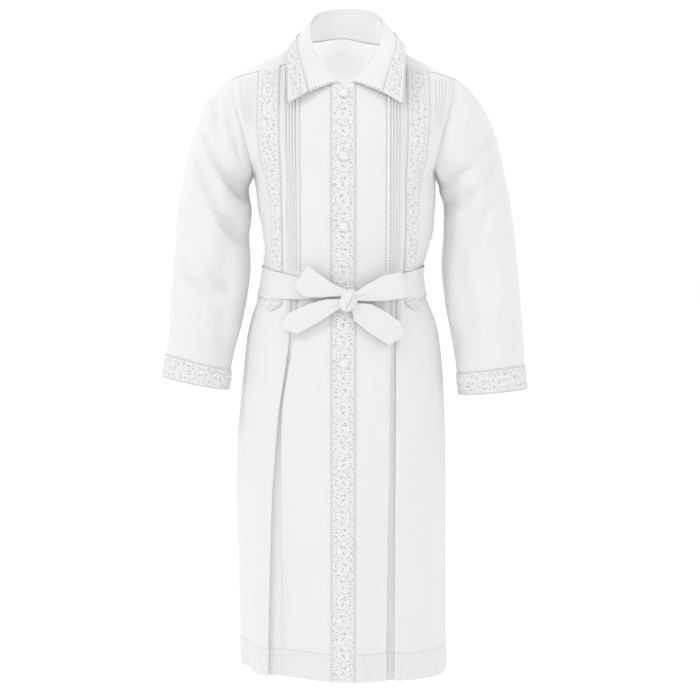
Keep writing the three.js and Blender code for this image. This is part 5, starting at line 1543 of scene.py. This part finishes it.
def stitched(name, band, parts, material, rise=0.06):
    """Everything of one thread on a band, as one mesh."""
    starts = summed([len(where) for where, _ in parts])
    faces = np.concatenate([quads + start for (_, quads), start in zip(parts, starts)])
    where = np.concatenate([points for points, _ in parts])
    mesh = bpy.data.meshes.new(name)
    at = band.laid(where[:, 0], where[:, 1], where[:, 2] + rise) * MM
    mesh.from_pydata(at.tolist(), [], faces.tolist())
    mapped(mesh, where[:, :2])
    piece = bpy.data.objects.new(name, mesh)
    bpy.context.scene.collection.objects.link(piece)
    row, column = (size // 2 for size in band.points.shape[:2])
    centre, normal = Vector(band.points[row, column] * MM), Vector(band.normal[row, column])
    turned_out(mesh, [p for p in mesh.polygons if (p.center - centre).length < 0.06], lambda p: normal)
    finished(piece, material, 50.0)
    standing(piece)
    return piece


def embroidered(name, points, middle, seed, size, closed=False, ends=6.0, border=2.3,
                material=band_ground):
    """A band's ground, its scroll and its dark dashes of painted shadow."""
    band = Band(points, middle, closed)
    width, first = float(band.width.mean()), 0.0 if closed else ends
    ground = cloth(name + "_ground", points, band.share * BAND_WIDE, band.along, material, away=middle,
                   weld=closed)
    count = max(1, round((band.length - 2 * first) / REPEAT))
    step = (band.length - 2 * first) / count
    places = scroll_places(first, step, count, width - 2 * border - 3, seed)
    satin_parts = [placed_motifs(kind, places[kind]) for kind in MOTIFS if kind != "slit"]
    run = np.linspace(first, band.length - first, 24 * count + 1)
    swing = np.sin((run - first) / step * 2 * np.pi) * -SCROLL_SWING * width
    satin_parts.append(cord_on(np.stack([swing, run], axis=1), 0.85, 0.9))
    edge = np.linspace(0, band.length, max(2, int(band.length / 4)) + 1)
    for side in (-1, 1):
        for inset in (0.6, 4.2):
            share = np.interp(edge, band.along, band.width) / 2 - inset
            satin_parts.append(cord_on(np.stack([side * share, edge], axis=1), 0.55, 0.45))
    scroll = stitched(name + "_scroll", band, satin_parts, satin_thread)
    # The dashes are dark sheets just above the ground: painted shadow of the satin stitches.
    shadow_dashes = stitched(name + "_slits", band, [placed_motifs("slit", places["slit"])], painted_dash_shadow)
    declared(ground, name, size, (scroll, shadow_dashes))


BAND_LIFT = SEAM + TRIM + 0.1
print("stitches per repeat:", 2 * len(HALF_REPEAT))

# %% Lay the placket and the chest bands on the fronts
fine = refined(np.concatenate([plains[-1][:, [1, 0]], plains[1][:, [0, 1]]], axis=1), 2.6, 5.0)[0]
waves = np.where(fine[..., 0] < 0, front_relief(fine, -1), front_relief(fine, 1))
embroidered("placket", raised(fine, INSIDE, BAND_LIFT + 0.25 * waves), INSIDE, 1, (0.046, 1.11))
for side, name in SIDES:
    fine = refined(plains[side][LOW_ROWS.index(WAIST_TOP):, FIRST_BAND:FIRST_BAND + 3], 2.6, 4.0)[0]
    fine = raised(fine, below, front_relief(fine, side) + BAND_LIFT)
    embroidered("chest_band_" + name, fine, below, 3 + side, (0.044, 0.39))


# %% Pointed ends of the chest bands, below the sash
def band_point_rows(side):
    """The front's own points below the sash, as columns whose low ends run to a point."""
    grid = plains[side][:, FIRST_BAND - 1:FIRST_BAND + 6]
    low, high = LOW_ROWS.index(WAIST_LOW) - 1, LOW_ROWS.index(WAIST_LOW)

    def at(c, z):
        r = low if z < WAIST_LOW else high
        t = (z - grid[r, c, 2]) / (grid[r + 1, c, 2] - grid[r, c, 2])
        return lerp(grid[r, c], grid[r + 1, c], t)

    def column(k):
        lowest = lerp(-505, -484, abs(k / 6 - 0.4) / 0.6)
        first, part = min(int(k), 5), k - min(int(k), 5)
        return [lerp(at(first, z), at(first + 1, z), part)
                for z in (lerp(lowest, -470, share) for share in (0, 0.35, 0.7, 1))]

    return np.array([column(k) for k in np.linspace(0, 6, 31)])


for side, name in SIDES:
    fine, middle = refined(band_point_rows(side), 1.8, 2.2)[0], (0, 0, -480)
    fine = raised(fine, middle, front_relief(fine, side) + BAND_LIFT)
    embroidered("band_point_" + name, fine, middle, 7 + side, (0.036, 0.09),
                ends=2.0, border=0.5)

# %% Cuffs and the collar's edge
for side, name in SIDES:
    ring = np.swapaxes(sleeves[side][-3:], 0, 1)
    ring = np.concatenate([ring[-3:], ring, ring[:4]])
    along = running(ring, 0)
    fine = monotone(ring, along, finer(along[3:-3], 3.0))
    width = running(fine, 1)
    fine = np.swapaxes(monotone(np.swapaxes(fine, 0, 1), width, finer(width, 3.0)), 0, 1)
    middle = (side * 270.0, -20.0, -630.0)
    embroidered("cuff_band_" + name, raised(fine, middle, BAND_LIFT), middle, 11 + side, (0.043, 0.38),
                closed=True)

edge_rows = np.swapaxes(np.array([lerp(leaf[-4], leaf[-3], 0.25), *leaf[-3:]]), 0, 1)
fine = refined(edge_rows, 2.0, 2.6)[0]
fine = fine + looking(fine, slice(None), UP) * (BAND_LIFT + 0.5)
embroidered("collar_band", fine, (5, 20, -160), 17, (0.036, 0.65),
            material=collar_ground)

# %% [markdown]
# ## Covered buttons
# Four small domes close the front, each covered with the robe's own cloth, which is gathered under its rim.

# %% Model one button, then copy it down the placket
BUTTON_PLACES, BUTTON_RADIUS, BUTTON_RISE, BUTTON_UNDER = (-107, -221, -348, -597), 0.0082, 0.38, 0.0029
button = round_ball("covered_button", 44, 22, BUTTON_RADIUS, 50, 25)
bpy.ops.object.mode_set(mode="EDIT")
bpy.ops.mesh.select_all(action="SELECT")
bpy.ops.transform.resize(value=(1, 1, BUTTON_RISE))
bpy.ops.mesh.select_all(action="DESELECT")
bpy.ops.object.mode_set(mode="OBJECT")
for vertex in button.data.vertices:
    x, y, z = vertex.co
    reach, turn = math.hypot(x, y) / BUTTON_RADIUS, math.atan2(y, x)
    low = clamp(-z / BUTTON_UNDER)
    gather = 1 - 0.10 * low * (0.5 + 0.5 * math.cos(22 * turn)) * reach - 0.12 * low ** 2
    vertex.co = (x * gather, y * gather, z * (1.0 if z > 0 else 0.55) + 0.0017)
finished(button, button_cloth)
buttons = [button]
for _ in BUTTON_PLACES[1:]:
    buttons.append(button.copy())
    buttons[-1].data = button.data.copy()
    bpy.context.scene.collection.objects.link(buttons[-1])
surface = lambda z: float(body_point(z, 1, "front", 0)[1])
for k, (piece, z) in enumerate(zip(buttons, BUTTON_PLACES), 1):
    piece.name = piece.data.name = f"button_{k}_cloth"
    slope = math.atan2(surface(z + 20) - surface(z - 20), 40)
    where = Matrix.Translation([n * MM for n in (1.0, surface(z) - SEAM - TRIM - 0.6, z)])
    piece.data.transform(where @ Matrix.Rotation(math.pi / 2 - slope, 4, "X"))
    standing(piece, f"button_{k}")
print("buttons:", len(buttons), "faces each:", len(button.data.polygons))
